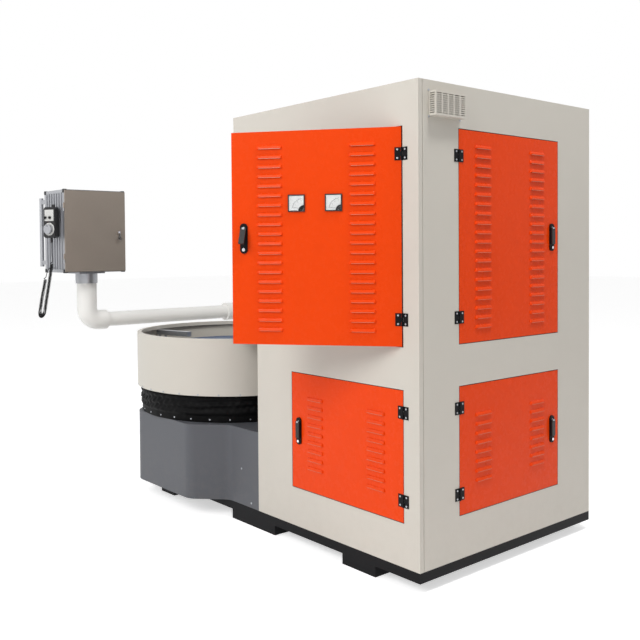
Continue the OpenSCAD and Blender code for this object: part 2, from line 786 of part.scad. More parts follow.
// Latches: plate, turning cam and lifting lever
latch_in = 62;
latch_half = 19;
latch_len = 150;
latch_t = 8;
latch_pivot_up = 50;
cam_r = 8;
cam_t = 4;
cam_w = 20;
cam_reach = 76;
cam_y = -34;
lever_t = 9;
lever_len = 88;
lever_half = 14;
lever_pin_r = 2;
lever_pin_y = 13;
lever_fork = 7;
lever_round = 4.5;
lever_lift = 30;
cam_head = 6.6;
cylinder_r = 9;
cylinder_out = 3;
latch_u = door_w - latch_in;
module stadium(half, length, t) {
    translate([-half, 0, half - length / 2]) cube([2 * half, t, length - 2 * half]);
    for (side = [-1, 1]) translate([0, 0, side * (length / 2 - half)]) rotate([-90, 0,
        0]) cylinder(r = half, h = t);
}
module along_y(r, y0, y1) {
    translate([0, y0, 0]) rotate([-90, 0, 0]) cylinder(r = r, h = y1 - y0);
}
function door_mid(z, h) = z + h / 2;
module at_latch(z, h) {
    translate([latch_u, 0, door_mid(z, h)]) children();
}
module latch_plate(z, h) {
    at_latch(z, h) {
        difference() {
            stadium(latch_half, latch_len, latch_t);
            translate([0, 0, latch_pivot_up]) along_y(cam_r + run_fit, -cut, latch_t + cut);
        }
        translate([0, 0, latch_half - latch_len / 2]) along_y(cylinder_r, latch_t, latch_t + cylinder_out);
    }
}
// The cam hangs straight down while the latch is free, and turns behind the frame
module latch_cam(z, h) {
    at_latch(z, h) translate([0, 0, latch_pivot_up]) {
        along_y(cam_r, cam_y, latch_t + slide_gap);
        translate([-cam_w / 2, cam_y, -cam_reach]) cube([cam_w, cam_t, cam_reach]);
        difference() {
            translate([-cam_head, latch_t, -lever_round]) cube([2 * cam_head,
                lever_pin_y + lever_round - latch_t, 2 * lever_round]);
            translate([-2 * cam_head, lever_pin_y, 0]) rotate([0, 90,
                0]) cylinder(r = lever_pin_r + run_fit, h = 4 * cam_head);
        }
    }
}
module latch_lever(z, h, lift) {
    at_latch(z, h) translate([0, lever_pin_y, latch_pivot_up]) rotate([lift, 0, 0]) {
        difference() {
            union() {
                translate([-lever_half, 0, 0]) rotate([0, 90, 0]) cylinder(r = lever_round,
                    h = 2 * lever_half);
                translate([-lever_half, -lever_round, -lever_len]) cube([2 * lever_half, lever_t, lever_len]);
            }
            translate([-lever_fork, -lever_t, -2 * lever_round]) cube([2 * lever_fork, 2 * lever_t,
                4 * lever_round]);
        }
        translate([-lever_half + root, 0, 0]) rotate([0, 90, 0]) cylinder(r = lever_pin_r,
            h = 2 * (lever_half - root));
    }
}

// Hinges: a fixed leaf with the pin on the frame and a moving leaf on the door
pin_r = 2.5;
pin_u = -door_gap / 2;
knuckle_r = 4.5;
leaf_w = 34;
leaf_t = 3;
leaf_h = 62;
leaf_clear = 6.5;
upper_hinge_in = 130;
lower_hinge_in = 106;
knuckle_gap = 0.3;
function hinge_zs(z, h, inset) = [z + inset, z + h - inset];
module each_hinge(z, h, inset) {
    for (at = hinge_zs(z, h, inset)) translate([pin_u, knuckle_r, at]) children();
}
module fixed_leaf() {
    third = leaf_h / 3;
    rod(pin_r, -leaf_h / 2, leaf_h / 2, $fn = 32);
    for (side = [-1, 1]) {
        low = side < 0 ? -leaf_h / 2 : leaf_h / 2 - third + knuckle_gap;
        rod(knuckle_r, low, low + third - knuckle_gap, $fn = 32);
        block([-leaf_clear - root, -knuckle_r, low], [0, leaf_t - knuckle_r, low + third - knuckle_gap]);
    }
    block([-leaf_w, -knuckle_r, -leaf_h / 2], [-leaf_clear, leaf_t - knuckle_r, leaf_h / 2]);
}
module moving_leaf() {
    third = leaf_h / 3;
    difference() {
        union() {
            rod(knuckle_r, -third / 2, third / 2, $fn = 32);
            block([0, -knuckle_r, -third / 2], [leaf_clear + root, leaf_t - knuckle_r, third / 2]);
            block([leaf_clear, -knuckle_r, -leaf_h / 2], [leaf_w, leaf_t - knuckle_r, leaf_h / 2]);
        }
        rod(pin_r + run_fit, -leaf_h / 2 - cut, leaf_h / 2 + cut, $fn = 32);
    }
}
module fixed_hinge_leaves() {
    color(black) {
        on_front() {
            each_hinge(upper_door_z, upper_door_h, upper_hinge_in) fixed_leaf();
            each_hinge(lower_door_z, lower_door_h, lower_hinge_in) fixed_leaf();
        }
        on_side() {
            each_hinge(upper_door_z, upper_door_h, upper_hinge_in) fixed_leaf();
            each_hinge(lower_door_z, lower_door_h, lower_hinge_in) fixed_leaf();
        }
    }
}

// Doors. Each is a folded tray with two columns of louvers, a spindle hole and, where it has them, meter holes.
upper_margin = 60;
front_lower_margin = 115;
side_lower_margin = 140;
function louver_rows(h, margin) = floor((h - 2 * margin - louver_h) / louver_pitch) + 1;
upper_rows = louver_rows(upper_door_h, upper_margin);
front_lower_rows = louver_rows(lower_door_h, front_lower_margin);
side_lower_rows = louver_rows(lower_door_h, side_lower_margin);
meter_hole_r = 33;
meter_us = [329, 514];
meter_drop = 356;
meter_z = upper_door_z + upper_door_h - meter_drop;
function first_louver(z, h, rows) = door_mid(z, h) - louver_pitch * (rows - 1) / 2 - louver_h / 2;
module door_tray(z, h, rows, meters) {
    first = first_louver(z, h, rows);
    difference() {
        union() {
            difference() {
                block([0, -door_depth, z], [door_w, 0, z + h]);
                block([sheet, -door_depth - cut, z + sheet], [door_w - sheet, -sheet, z + h - sheet]);
                louver_back_slots(first, rows);
            }
            louver_hoods(first, rows);
        }
        translate([latch_u, 0, door_mid(z, h) + latch_pivot_up]) along_y(cam_r + slide_gap, -sheet - cut,
            cut);
        for (u = meters) translate([u, 0, meter_z]) along_y(meter_hole_r, -sheet - cut, cut);
    }
}
module swung(angle) {
    translate([pin_u, knuckle_r, 0]) rotate([0, 0, angle]) translate([-pin_u, -knuckle_r, 0]) children();
}
module hardware(z, h, inset) {
    each_hinge(z, h, inset) moving_leaf();
    latch_plate(z, h);
}
module front_upper() {
    on_front() swung(front_door_ajar) children();
}
module front_upper_door() {
    color(orange) front_upper() door_tray(upper_door_z, upper_door_h, upper_rows, meter_us);
}
module front_upper_hardware() {
    color(black) front_upper() hardware(upper_door_z, upper_door_h, upper_hinge_in);
}
module front_upper_latch_cam() {
    color(steel) front_upper() latch_cam(upper_door_z, upper_door_h);
}
module front_upper_latch_lever() {
    color(black) front_upper() latch_lever(upper_door_z, upper_door_h, lever_lift);
}
module front_lower_door() {
    color(orange) on_front() door_tray(lower_door_z, lower_door_h, front_lower_rows, []);
}
module front_lower_hardware() {
    color(black) on_front() hardware(lower_door_z, lower_door_h, lower_hinge_in);
}
module front_lower_latch_cam() {
    color(steel) on_front() latch_cam(lower_door_z, lower_door_h);
}
module front_lower_latch_lever() {
    color(black) on_front() latch_lever(lower_door_z, lower_door_h, 0);
}
module side_upper_door() {
    color(orange) on_side() door_tray(upper_door_z, upper_door_h, upper_rows, []);
}
module side_upper_hardware() {
    color(black) on_side() hardware(upper_door_z, upper_door_h, upper_hinge_in);
}
module side_upper_latch_cam() {
    color(steel) on_side() latch_cam(upper_door_z, upper_door_h);
}
module side_upper_latch_lever() {
    color(black) on_side() latch_lever(upper_door_z, upper_door_h, 0);
}
module side_lower_door() {
    color(orange) on_side() door_tray(lower_door_z, lower_door_h, side_lower_rows, []);
}
module side_lower_hardware() {
    color(black) on_side() hardware(lower_door_z, lower_door_h, lower_hinge_in);
}
module side_lower_latch_cam() {
    color(steel) on_side() latch_cam(lower_door_z, lower_door_h);
}
module side_lower_latch_lever() {
    color(black) on_side() latch_lever(lower_door_z, lower_door_h, 0);
}
// Two panel meters on the front upper door
meter_half = 42;
meter_t = 8;
meter_can_r = 32;
meter_can = 45;
meter_glass = 5;
module panel_meters() {
    color([0.15, 0.16, 0.17]) front_upper() for (u = meter_us) translate([u, 0, meter_z]) {
        difference() {
            block([-meter_half, 0, -meter_half], [meter_half, meter_t, meter_half]);
            block([meter_glass - meter_half, meter_t / 2, meter_glass - meter_half],
                [meter_half - meter_glass, meter_t + cut,
                meter_half - meter_glass]);
        }
        along_y(meter_can_r, -meter_can, root);
    }
}

// Arm of the control box: wall flange, two tubes, two elbows and a riser
socket_r = 73;
socket_len = 95;
socket_depth = 55;
bend_r = 90;
flange_r = 105;
flange_t = 14;
tube_wall = 4;
collar_h = 85;
collar_r = 80;
collar_cap = 12;
elbow_end = socket_len + socket_depth;
riser_top = box_z - collar_cap;
module pipe(r, z0, z1) {
    tube(r, arm_r - tube_wall, z0, z1);
}
// Elbow from +Z to +X whose axes meet at the origin
module elbow() {
    translate([bend_r, 0, bend_r]) rotate([90, 0, 0]) rotate([0, 0, 180]) rotate_extrude(angle = 90, $fn = 48)
        translate([bend_r, 0]) difference() {
            circle(r = socket_r);
            circle(r = arm_r - tube_wall);
        }
    pipe(socket_r, bend_r, elbow_end);
    rotate([0, 90, 0]) pipe(socket_r, bend_r, elbow_end);
}
module pendant_arm() {
    color(cream) {
        translate([-arm_x, -arm_front, arm_z]) {
            rotate([0, 0, 90]) elbow();
            pipe(arm_r, elbow_end, riser_top - arm_z);
            rotate([-90, 0, 0]) pipe(arm_r, elbow_end, arm_back + arm_front - elbow_end);
        }
        translate([-arm_x, arm_back, arm_z]) {
            rotate([90, 0, 0]) elbow();
            rotate([0, 90, 0]) pipe(arm_r, elbow_end, cab_left + arm_x - flange_t);
            rotate([0, 90, 0]) rod(flange_r, cab_left + arm_x - flange_t, cab_left + arm_x);
        }
        translate([-arm_x, -arm_front, 0]) tube(socket_r, arm_r, arm_z + elbow_end,
            box_z - collar_h - slide_gap);
    }
}

// Control box on its swivel collar. Its back, with the door, faces the machine.
box_back = box_d / 2 - arm_x;
box_front = box_back - box_d;
box_mid_y = -arm_front - 8;
box_wall = 4;
box_rim = 22;
box_door_t = 12;
box_plate = 200;
rib_count = 7;
rib_out = 6;
rib_w = 10;
grip_r = 15;
grip_out = 98;
grip_len = 510;
grip_arm = 12;
grip_up = 40;
grip_y = box_mid_y - box_w / 2 + 16;
gland_r = 9;
gland_h = 14;
gland_x = -1010;
gland_up = 32;
box_edge_y = box_mid_y - box_w / 2;
module control_box() {
    color([0.72, 0.73, 0.75]) {
        difference() {
            union() {
                block([box_front, box_edge_y, box_z], [box_back, box_mid_y + box_w / 2, box_z + box_h]);
                for (side = [-1, 1]) for (i = [0:rib_count - 1])
                    translate([box_front + box_d * (i + 1) / (rib_count + 1) - rib_w / 2,
                        side > 0 ? box_mid_y + box_w / 2 - root : box_edge_y - rib_out, box_z + box_rim])
                        cube([rib_w, rib_out + root, box_h - 2 * box_rim]);
                translate([-arm_x, -arm_front, 0]) rod(collar_r, box_z - collar_h, box_z + root);
                translate([-arm_x - box_plate / 2, -arm_front - box_plate / 2, box_z - collar_cap])
                    cube([box_plate, box_plate, collar_cap + root]);
            }
            block([box_front - cut, box_edge_y + box_wall, box_z + box_wall], [box_back + cut,
                box_mid_y + box_w / 2 - box_wall,
                box_z + box_h - box_wall]);
            translate([-arm_x, -arm_front, 0]) rod(arm_r + run_fit, box_z - collar_h - cut,
                box_z + box_wall + cut);
        }
        translate([box_front - grip_out, grip_y, 0]) rod(grip_r, box_z + grip_up, box_z + grip_up + grip_len);
        for (z = [box_z + grip_up + grip_r, box_z + grip_up + grip_len - 3 * grip_r])
            block([box_front - grip_out, grip_y - grip_arm / 2, z], [box_front - panel_t,
                grip_y + grip_arm / 2, z + 2 * grip_r]);
        translate([gland_x, 0, box_z + gland_up]) along_y(gland_r, box_edge_y - gland_h, box_edge_y + root);
        for (z = box_hinge_zs) {
            translate([box_pin_x, box_pin_y, 0]) {
                rod(box_pin_r, z, z + box_hinge_h, $fn = 32);
                rod(box_hinge_r, z - box_hinge_h / 2, z - knuckle_gap, $fn = 32);
            }
            block([box_back - 2 * box_hinge_r, box_pin_y, z - box_hinge_h / 2], [box_pin_x, box_edge_y,
                z - knuckle_gap]);
        }
    }
}
box_door_gap = 6;
box_hinge_r = 5;
box_hinge_h = 40;
box_hinge_up = 95;
box_pin_r = 2.5;
box_hinge_zs = [box_z + box_hinge_up, box_z + box_h - box_hinge_up - box_hinge_h];
lock_r = 11;
lock_in = 55;
lock_up = 290;
box_pin_x = box_back + box_hinge_r;
box_pin_y = box_edge_y - box_hinge_r - slide_gap;
module control_box_door() {
    color([0.42, 0.40, 0.38]) {
        block([box_back + slide_gap, box_edge_y + slide_gap, box_z + box_door_gap],
            [box_back + box_door_t, box_mid_y + box_w / 2, box_z + box_h - box_door_gap]);
        translate([box_back + box_door_t, box_mid_y + box_w / 2 - lock_in, box_z + lock_up]) rotate([0, 90,
            0])
            cylinder(r = lock_r, h = lock_r);
        for (z = box_hinge_zs) difference() {
            union() {
                translate([box_pin_x, box_pin_y, 0]) rod(box_hinge_r, z, z + box_hinge_h, $fn = 32);
                block([box_pin_x, box_pin_y, z], [box_back + 2 * box_hinge_r, box_edge_y + root,
                    z + box_hinge_h]);
            }
            translate([box_pin_x, box_pin_y, 0]) rod(box_pin_r + run_fit, z - cut, z + box_hinge_h + cut,
                $fn = 32);
        }
    }
}

// Operator panel on the far side of the box, with its screen and controls
panel_t = 3;
screen_w = 260;
screen_h = 200;
screen_up = 330;
control_up = 110;
stop_y = 150;
start_y = 20;
mode_y = -110;
stem_r = 8;
module operator_panel() {
    color([0.70, 0.71, 0.73]) difference() {
        union() {
            block([box_front - panel_t, box_edge_y, box_z], [box_front, box_mid_y + box_w / 2,
                box_z + box_h]);
            translate([box_front - 2 * panel_t, box_mid_y - screen_w / 2,
                box_z + screen_up]) cube([2 * panel_t, screen_w, screen_h]);
        }
        for (y = [stop_y, start_y, mode_y])
            translate([box_front - panel_t - cut, box_mid_y + y, box_z + control_up]) rotate([0, 90, 0])
                cylinder(r = stem_r + slide_gap, h = panel_t + 2 * cut);
    }
}
stem_in = 20;
press_gap = 6;
module panel_control(y, head_r, head_t, gap) {
    translate([box_front - panel_t - gap - head_t, box_mid_y + y, box_z + control_up]) rotate([0, 90, 0]) {
        cylinder(r = head_r, h = head_t);
        cylinder(r = stem_r, h = head_t + gap + panel_t + stem_in);
    }
}
stop_r = 20;
stop_t = 14;
start_r = 11;
start_t = 6;
mode_r = 14;
mode_t = 16;
grip_bar = 5;
module emergency_button() {
    color([0.75, 0.05, 0.05]) panel_control(stop_y, stop_r, stop_t, press_gap);
}
module start_button() {
    color([0.10, 0.50, 0.20]) panel_control(start_y, start_r, start_t, press_gap);
}
module mode_selector() {
    color(black) {
        panel_control(mode_y, mode_r, mode_t, slide_gap);
        translate([box_front - panel_t - slide_gap - mode_t - grip_bar, box_mid_y + mode_y - grip_bar / 2,
            box_z + control_up - mode_r]) cube([grip_bar + root, grip_bar, 2 * mode_r]);
    }
}

// Handwheel pendant hung on the box's near side, turned toward the operator
pendant_x = -956;
pendant_turn = 25;
pendant_half = 50;
pendant_t = 48;
pendant_low = 1746;
pendant_h = 219;
pendant_chamfer = 12;
pendant_off = 30;
hook_half = 14;
hook_up = 20;
hook_t = 6;
relief_r = 8;
relief_h = 34;
dial_up = 62;
knobs_up = 144;
knobs_mid = -10;
knobs_apart = 20;
axle_r = 5;
axle_in = 20;
dial_r = 34;
dial_t = 22;
dimple_r = 6;
dimple_at = 22;
dimple_in = 5;
knob_r = 9;
knob_t = 12;
module at_pendant() {
    translate([pendant_x, box_edge_y - pendant_off, pendant_low]) rotate([0, 0, pendant_turn]) children();
}
module handwheel_pendant() {
    color(black) {
        at_pendant() difference() {
            union() {
                rotate([90, 0, 0]) linear_extrude(pendant_t) polygon([
                    [pendant_chamfer - pendant_half, 0], [pendant_half - pendant_chamfer, 0],
                    [pendant_half, pendant_chamfer], [pendant_half, pendant_h - pendant_chamfer],
                    [pendant_half - pendant_chamfer, pendant_h], [pendant_chamfer - pendant_half, pendant_h],
                    [-pendant_half, pendant_h - pendant_chamfer], [-pendant_half, pendant_chamfer]]);
                translate([0, -pendant_t / 2, -relief_h]) cylinder(r = relief_r, h = relief_h + root);
            }
            for (p = [[0, dial_up], [knobs_mid - knobs_apart, knobs_up], [knobs_mid + knobs_apart, knobs_up]])
                translate([p.x, 0, p.y]) along_y(axle_r + run_fit, -pendant_t - cut,
                    axle_in + slide_gap - pendant_t);
        }
        at_pendant() difference() {
            translate([-hook_half, -hook_t, pendant_h]) cube([2 * hook_half, hook_t, hook_up]);
            translate([0, 0, pendant_h + hook_up / 2]) along_y(hook_t / 2, -hook_t - cut, cut);
        }
        block([pendant_x - hook_half / 2, box_edge_y - pendant_off - hook_half / 2,
            pendant_low + pendant_h / 2],
            [pendant_x + hook_half, box_edge_y, pendant_low + pendant_h - hook_up]);
    }
}
module pendant_control(side, up, r, t) {
    translate([side, 0, up]) {
        along_y(r, -pendant_t - slide_gap - t, -pendant_t - slide_gap);
        along_y(axle_r, -pendant_t - slide_gap - root, axle_in - pendant_t);
    }
}
module pendant_dial() {
    color(steel) at_pendant() difference() {
        pendant_control(0, dial_up, dial_r, dial_t);
        translate([0, 0, dial_up + dimple_at]) along_y(dimple_r, -pendant_t - dial_t - cut,
            dimple_in - pendant_t - dial_t);
    }
}
module pendant_knob(side) {
    color(black) at_pendant() {
        pendant_control(side, knobs_up, knob_r, knob_t);
        translate([side - grip_bar / 2, -pendant_t - slide_gap - knob_t - grip_bar, knobs_up - knob_r])
            cube([grip_bar, grip_bar + root, 2 * knob_r]);
    }
}
module pendant_axis_knob() {
    pendant_knob(knobs_mid - knobs_apart);
}
module pendant_rate_knob() {
    pendant_knob(knobs_mid + knobs_apart);
}

// Curly cord of the pendant. It runs straight down, coils through a hanging loop and rises to the gland.
cord_r = 2.5;
cord_sides = 6;
curl_r = 10.2;
curl_pitch = 8.75;
curl_ease = 30;
lead_out = 60;
curl_rings = 8;
curl_start = 130;
curl_end = 100;
lead_step = 8;
cord_route = [[-945.9, -935.3, 1712], [-945.9, -935.3, 1690], [-945.9, -935.3, 1640], [-946, -936, 1580],
    [-948, -946, 1500], [-951, -960, 1410], [-954, -977, 1310], [-956, -991, 1226], [-968, -997, 1198],
    [-996, -1001, 1186], [-1024, -997, 1198], [-1036, -991, 1226], [-1038, -976, 1310], [-1040, -958, 1390],
    [-1038, -943, 1470], [-1026, -932, 1515], [-1010, -925, 1529], [-1010, -912, 1529], [-1010, -897.5,
        1529]];
function spline(a, b, c, d,
    t) = (2 * b + (c - a) * t + (2 * a - 5 * b + 4 * c - d) * t ^ 2 + (3 * b - a - 3 * c + d) * t ^ 3) / 2;
function route_at(s) =
    let (n = len(cord_route) - 1, i = min(floor(s), n - 1))
    spline(cord_route[max(i - 1, 0)], cord_route[i], cord_route[i + 1], cord_route[min(i + 2, n)], s - i);
route_fine = 12;
function route_table() =
    let (n = (len(cord_route) - 1) * route_fine)
    [for (i = 0, at = 0; i <= n; i = i + 1, at = at + norm(route_at(min(i,
        n) / route_fine) - route_at((i - 1) / route_fine)))
        [at, i / route_fine]];
cord_table = route_table();
cord_len = cord_table[len(cord_table) - 1][0];
curl_len = cord_len - curl_start - curl_end;
curl_steps = round(curl_rings * curl_len / curl_pitch);
function on_route(at) = route_at(lookup(at, cord_table));
// Places along the cord at which it has a ring
cord_places = concat([for (i = [0:floor(curl_start / lead_step) - 1]) i * lead_step],
    [for (i = [0:curl_steps]) curl_start + i * curl_len / curl_steps],
    [for (i = [floor(curl_end / lead_step) - 1:-1:0]) cord_len - i * lead_step]);
function tangents(points) = [for (i = [0:len(points) - 1])
    unit2(points[min(i + 1, len(points) - 1)] - points[max(i - 1, 0)])];
// Side vectors that don't twist along the path
function level(v, d) = unit2(v - (v * d) * d);
function sides(ds, first) = [for (i = 0, v = level(first, ds[0]); i < len(ds); i = i + 1,
    v = i < len(ds) ? level(v, ds[i]) : v) v];
// Turns made by a place on the coil; they start and end slowly, so that the cord never kinks
function eased(d) = d < curl_ease ? d ^ 3 / (3 * curl_ease ^ 2) : d - 2 * curl_ease / 3;
function curl_turns(x) = let (at = min(max(x, 0), curl_len))
    (at < curl_len / 2 ? eased(at) : curl_len - 4 * curl_ease / 3 - eased(curl_len - at)) / curl_pitch;
function smooth(k) = let (s = min(max(k, 0), 1)) s * s * (3 - 2 * s);
// Share of the coil's radius that the cord has reached
function curl_share(at) = smooth((at - curl_start) / lead_out + 1) * smooth((cord_len - curl_end - at) / lead_out + 1);
function cord_line() =
    let (mids = [for (at = cord_places) on_route(at)], ds = tangents(mids), vs = sides(ds, [1, 0, 0]))
    [for (i = [0:len(mids) - 1]) let (a = 360 * curl_turns(cord_places[i] - curl_start))
        mids[i] + curl_r * curl_share(cord_places[i]) * (cos(a) * vs[i] + sin(a) * cross(ds[i], vs[i]))];
module tube_along(points, r) {
    n = len(points);
    ds = tangents(points);
    vs = sides(ds, [1, 0, 0]);
    rings = [for (i = [0:n - 1]) for (k = [0:cord_sides - 1]) let (a = 360 * k / cord_sides)
        points[i] + r * (cos(a) * vs[i] + sin(a) * cross(ds[i], vs[i]))];
    walls = [for (i = [0:n - 2]) for (k = [0:cord_sides - 1])
        let (a = i * cord_sides + k, b = i * cord_sides + (k + 1) % cord_sides)
        each [[a, a + cord_sides, b], [b, a + cord_sides, b + cord_sides]]];
    polyhedron(rings, concat([[for (k = [0:cord_sides - 1]) k]], walls,
        [[for (k = [cord_sides - 1:-1:0]) (n - 1) * cord_sides + k]]));
}
// Least distance between places on the cord that lie about one curl or more apart, less the cord's thickness
function cord_gap(points) = min([for (i = [0:len(points) - 1]) for (j = [i + curl_rings - 1:1:len(points) - 1])
    norm(points[i] - points[j])]) - 2 * cord_r;
module curly_cord() {
    points = cord_line();
    echo(cord_gap = cord_gap(points), cord_len = cord_len);
    color(black) tube_along(points, cord_r);
}

machine_bed();
levelling_blocks();
table_base_cover();
table_pedestal();
splash_guard();
coolant_pan();
dust_skirt();
coolant_manifold();
table_motor();
motor_pinion();
table_spindle();
bull_gear();
magnetic_chuck();
cabinet_frame();
front_panel();
side_panel();
rear_panel();
left_panel();
roof_panel();
head_hood();
exhaust_vent();
cross_rails();
traverse_screw();
traverse_motor();
wheel_column();
feed_screw();
feed_motor();
wheel_head();
grinding_spindle();
grinding_wheel();
fixed_hinge_leaves();
front_upper_door();
front_upper_hardware();
front_upper_latch_cam();
front_upper_latch_lever();
front_lower_door();
front_lower_hardware();
front_lower_latch_cam();
front_lower_latch_lever();
side_upper_door();
side_upper_hardware();
side_upper_latch_cam();
side_upper_latch_lever();
side_lower_door();
side_lower_hardware();
side_lower_latch_cam();
side_lower_latch_lever();
panel_meters();
pendant_arm();
control_box();
control_box_door();
operator_panel();
emergency_button();
start_button();
mode_selector();
handwheel_pendant();
pendant_dial();
pendant_axis_knob();
pendant_rate_knob();
curly_cord();
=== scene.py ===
"""Looks of a rotary surface grinder, laid out as an add-on with one operator for each group of pieces."""

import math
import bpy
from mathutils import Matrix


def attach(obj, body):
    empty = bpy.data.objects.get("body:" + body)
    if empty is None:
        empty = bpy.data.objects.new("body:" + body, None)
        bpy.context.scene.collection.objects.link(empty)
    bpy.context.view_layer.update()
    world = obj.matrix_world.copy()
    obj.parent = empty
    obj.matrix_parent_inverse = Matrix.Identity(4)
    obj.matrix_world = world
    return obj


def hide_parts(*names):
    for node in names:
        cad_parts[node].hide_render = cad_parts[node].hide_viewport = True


bl_info = {
    "name": "Rotary Surface Grinder",
    "version": (1, 0, 0),
    "blender": (4, 5, 0),
    "location": "3D View > Sidebar > Grinder",
    "description": "Dresses the grinder's solids with paint, fasteners, gauges and its skirt",
    "category": "Object",
}

from collections import namedtuple

import bmesh
import bpy
from mathutils import Matrix, Vector

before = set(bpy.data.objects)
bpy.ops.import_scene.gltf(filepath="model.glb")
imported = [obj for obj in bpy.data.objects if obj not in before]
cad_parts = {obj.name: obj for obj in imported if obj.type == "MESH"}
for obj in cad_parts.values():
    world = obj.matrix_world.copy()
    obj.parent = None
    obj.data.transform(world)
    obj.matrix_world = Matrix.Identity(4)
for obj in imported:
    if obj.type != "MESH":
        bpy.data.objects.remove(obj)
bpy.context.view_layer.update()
MM = 0.001

# Places taken from the solids, in metres
CAB_RIGHT = 2.115
FRONT_Y = -0.45
FRONT_HINGE_X = 2.010
SIDE_HINGE_Y = -0.157
DOOR_W = 0.845
DOOR_GAP = 0.004
# Side of the cabinet, lower edge, height, distance of the hinges from the edges, angle at rest in degrees and
# rows of louvres
Door = namedtuple("Door", "side low height hinge_in ajar rows")
DOORS = {
    "front_upper": Door("front", 1.178, 1.054, 0.130, 38.0, 20),
    "front_lower": Door("front", 0.325, 0.640, 0.106, 0.0, 9),
    "side_upper": Door("side", 1.178, 1.054, 0.130, 0.0, 20),
    "side_lower": Door("side", 0.325, 0.640, 0.106, 0.0, 8),
}
PIN = Vector((-0.002, 0.0045, 0.0))
HINGE_SCREW_UP, FIXED_SCREW_U, MOVING_SCREW_U, LEAF_Y = 0.0205, -0.0225, 0.0185, 0.0030
LATCH_IN, KEY_DROP, KEY_Y = 0.062, 0.056, 0.011
METER_Z, METER_Y = 1.876, 0.0041
LOUVRE_MIDS = (0.188, 0.650)
LOUVRE_LEN, LOUVRE_H, LOUVRE_OUT, LOUVRE_PITCH = 0.113, 0.017, 0.009, 0.0474
PENDANT_AT = Vector((-0.956, -0.9135, 1.746))
PENDANT_TURN = math.radians(25.0)
BOX_LOW = Vector((-1.1835, -0.8835, 1.497))
BOX_HIGH = Vector((-0.8465, -0.4125, 2.090))
SKIRT_LOW, SKIRT_HEM, SKIRT_TOP = 0.571, 0.607, 0.741
SKIRT_R, SKIRT_THICK, SKIRT_MEAN_R = 0.6483, 0.003, 0.6513
HEM_SCREWS, HEM_SCREW_R, HEM_SCREW_Z = 32, 0.6512, 0.589
GUARD_R, GUARD_SCREW_Z = 0.683, 0.7485
COVER_SCREWS = ((0.772, 0.135), (0.675, 0.325))
VENT_SCREW_YS, VENT_SCREW_ZS = (-0.380, -0.152), (2.273, 2.397)

# Camera fitted to the photograph: its place, turn in degrees, and focal length and centre in pixels
CAMERA_AT = (4.766, -3.378, 1.647)
CAMERA_TURN = (50.354, -1.453, -0.452)
PHOTO_SIDE, FOCAL_PIXELS, CENTRE_X, CENTRE_Y = 640, 833.28, 298.855, 270.96
SENSOR = 36.0
WHITE = (1.0, 1.0, 1.0, 1.0)
# Name, place, aim, width and power of each lamp
LAMPS = (("key", (2.5, -7.5, 6.0), (1.2, -0.2, 1.2), 5.0, 400.0),
         ("side", (3.9, 0.0, 7.0), (2.1, 0.2, 0.9), 1.4, 190.0),
         ("left", (-5.0, -6.0, 4.0), (-0.3, 0.0, 1.0), 4.0, 85.0))


def srgb(r, g, b):
    """A colour as read on screen, made linear."""
    return tuple(c / 12.92 if c <= 0.04045 else ((c + 0.055) / 1.055) ** 2.4 for c in (r, g, b)) + (1.0,)


# Sizes and colours
def colour_prop(name, description, default):
    return bpy.props.FloatVectorProperty(name=name, description=description, subtype="COLOR", size=4,
                                         min=0.0, max=1.0, default=default)


def length_prop(name, description, default):
    return bpy.props.FloatProperty(name=name, description=description, default=default, min=0.0,
                                   subtype="DISTANCE", unit="LENGTH")


class GrinderColours(bpy.types.PropertyGroup):
    """Colours of the grinder's finishes"""
    cream: colour_prop("Cream paint", "Textured paint of the cabinet and the guard",
                       srgb(0.785, 0.766, 0.728))
    orange: colour_prop("Orange paint", "Gloss paint of the doors", srgb(0.905, 0.262, 0.02))
    base_grey: colour_prop("Grey paint", "Paint of the table's base cover", srgb(0.335, 0.342, 0.362))
    black: colour_prop("Black paint", "Paint of the plinth and the hinges", srgb(0.06, 0.06, 0.07))
    arm: colour_prop("Arm paint", "Paint of the control arm", srgb(0.92, 0.915, 0.90))
    box_door: colour_prop("Box door", "Brushed door of the control box", srgb(0.60, 0.56, 0.52))
    aluminium: colour_prop("Aluminium", "Profiles of the control box", srgb(0.66, 0.665, 0.68))
    skirt: colour_prop("Skirt cloth", "Coated cloth of the pleated skirt", srgb(0.03, 0.03, 0.033))
    abrasive: colour_prop("Abrasive", "Segments of the grinding wheel", srgb(0.56, 0.36, 0.28))


class GrinderSizes(bpy.types.PropertyGroup):
    """Sizes of the fittings added to the solids"""
    hinge_screw: length_prop("Hinge screw", "Radius of a hinge screw's head", 4.6 * MM)
    cover_screw: length_prop("Cover screw", "Radius of a cover screw's head", 6.0 * MM)
    skirt_screw: length_prop("Skirt screw", "Radius of a skirt hem screw's head", 5.0 * MM)
    # The pale strip along each louvre's lip is a painted highlight
    louvre_highlight: length_prop("Louvre highlight", "Height of the painted highlight along a louvre's lip", 1.2 * MM)
    # The black frame in the door gaps is painted shade for the dark gaps
    gap_shade_width: length_prop("Gap shade", "Width of the black frame that paints the shade round a door", 3.4 * MM)
    fold: length_prop("Skirt fold", "How far a fold of the skirt stands out", 12.0 * MM)


def colours():
    return bpy.context.scene.grinder_colours


def sizes():
    return bpy.context.scene.grinder_sizes


# Shader tools
def link(tree, a, b):
    tree.links.new(a, b)


def feed(tree, socket, value):
    """Sets a socket to a plain value, or links it to another node's output."""
    if isinstance(value, bpy.types.NodeSocket):
        link(tree, value, socket)
    else:
        socket.default_value = value


def math_node(tree, kind, a, b, clamp=False):
    node = tree.nodes.new("ShaderNodeMath")
    node.operation = kind
    node.use_clamp = clamp
    feed(tree, node.inputs[0], a)
    feed(tree, node.inputs[1], b)
    return node.outputs[0]


def multiply(tree, a, b, clamp=False):
    return math_node(tree, "MULTIPLY", a, b, clamp)


def add(tree, a, b, clamp=False):
    return math_node(tree, "ADD", a, b, clamp)


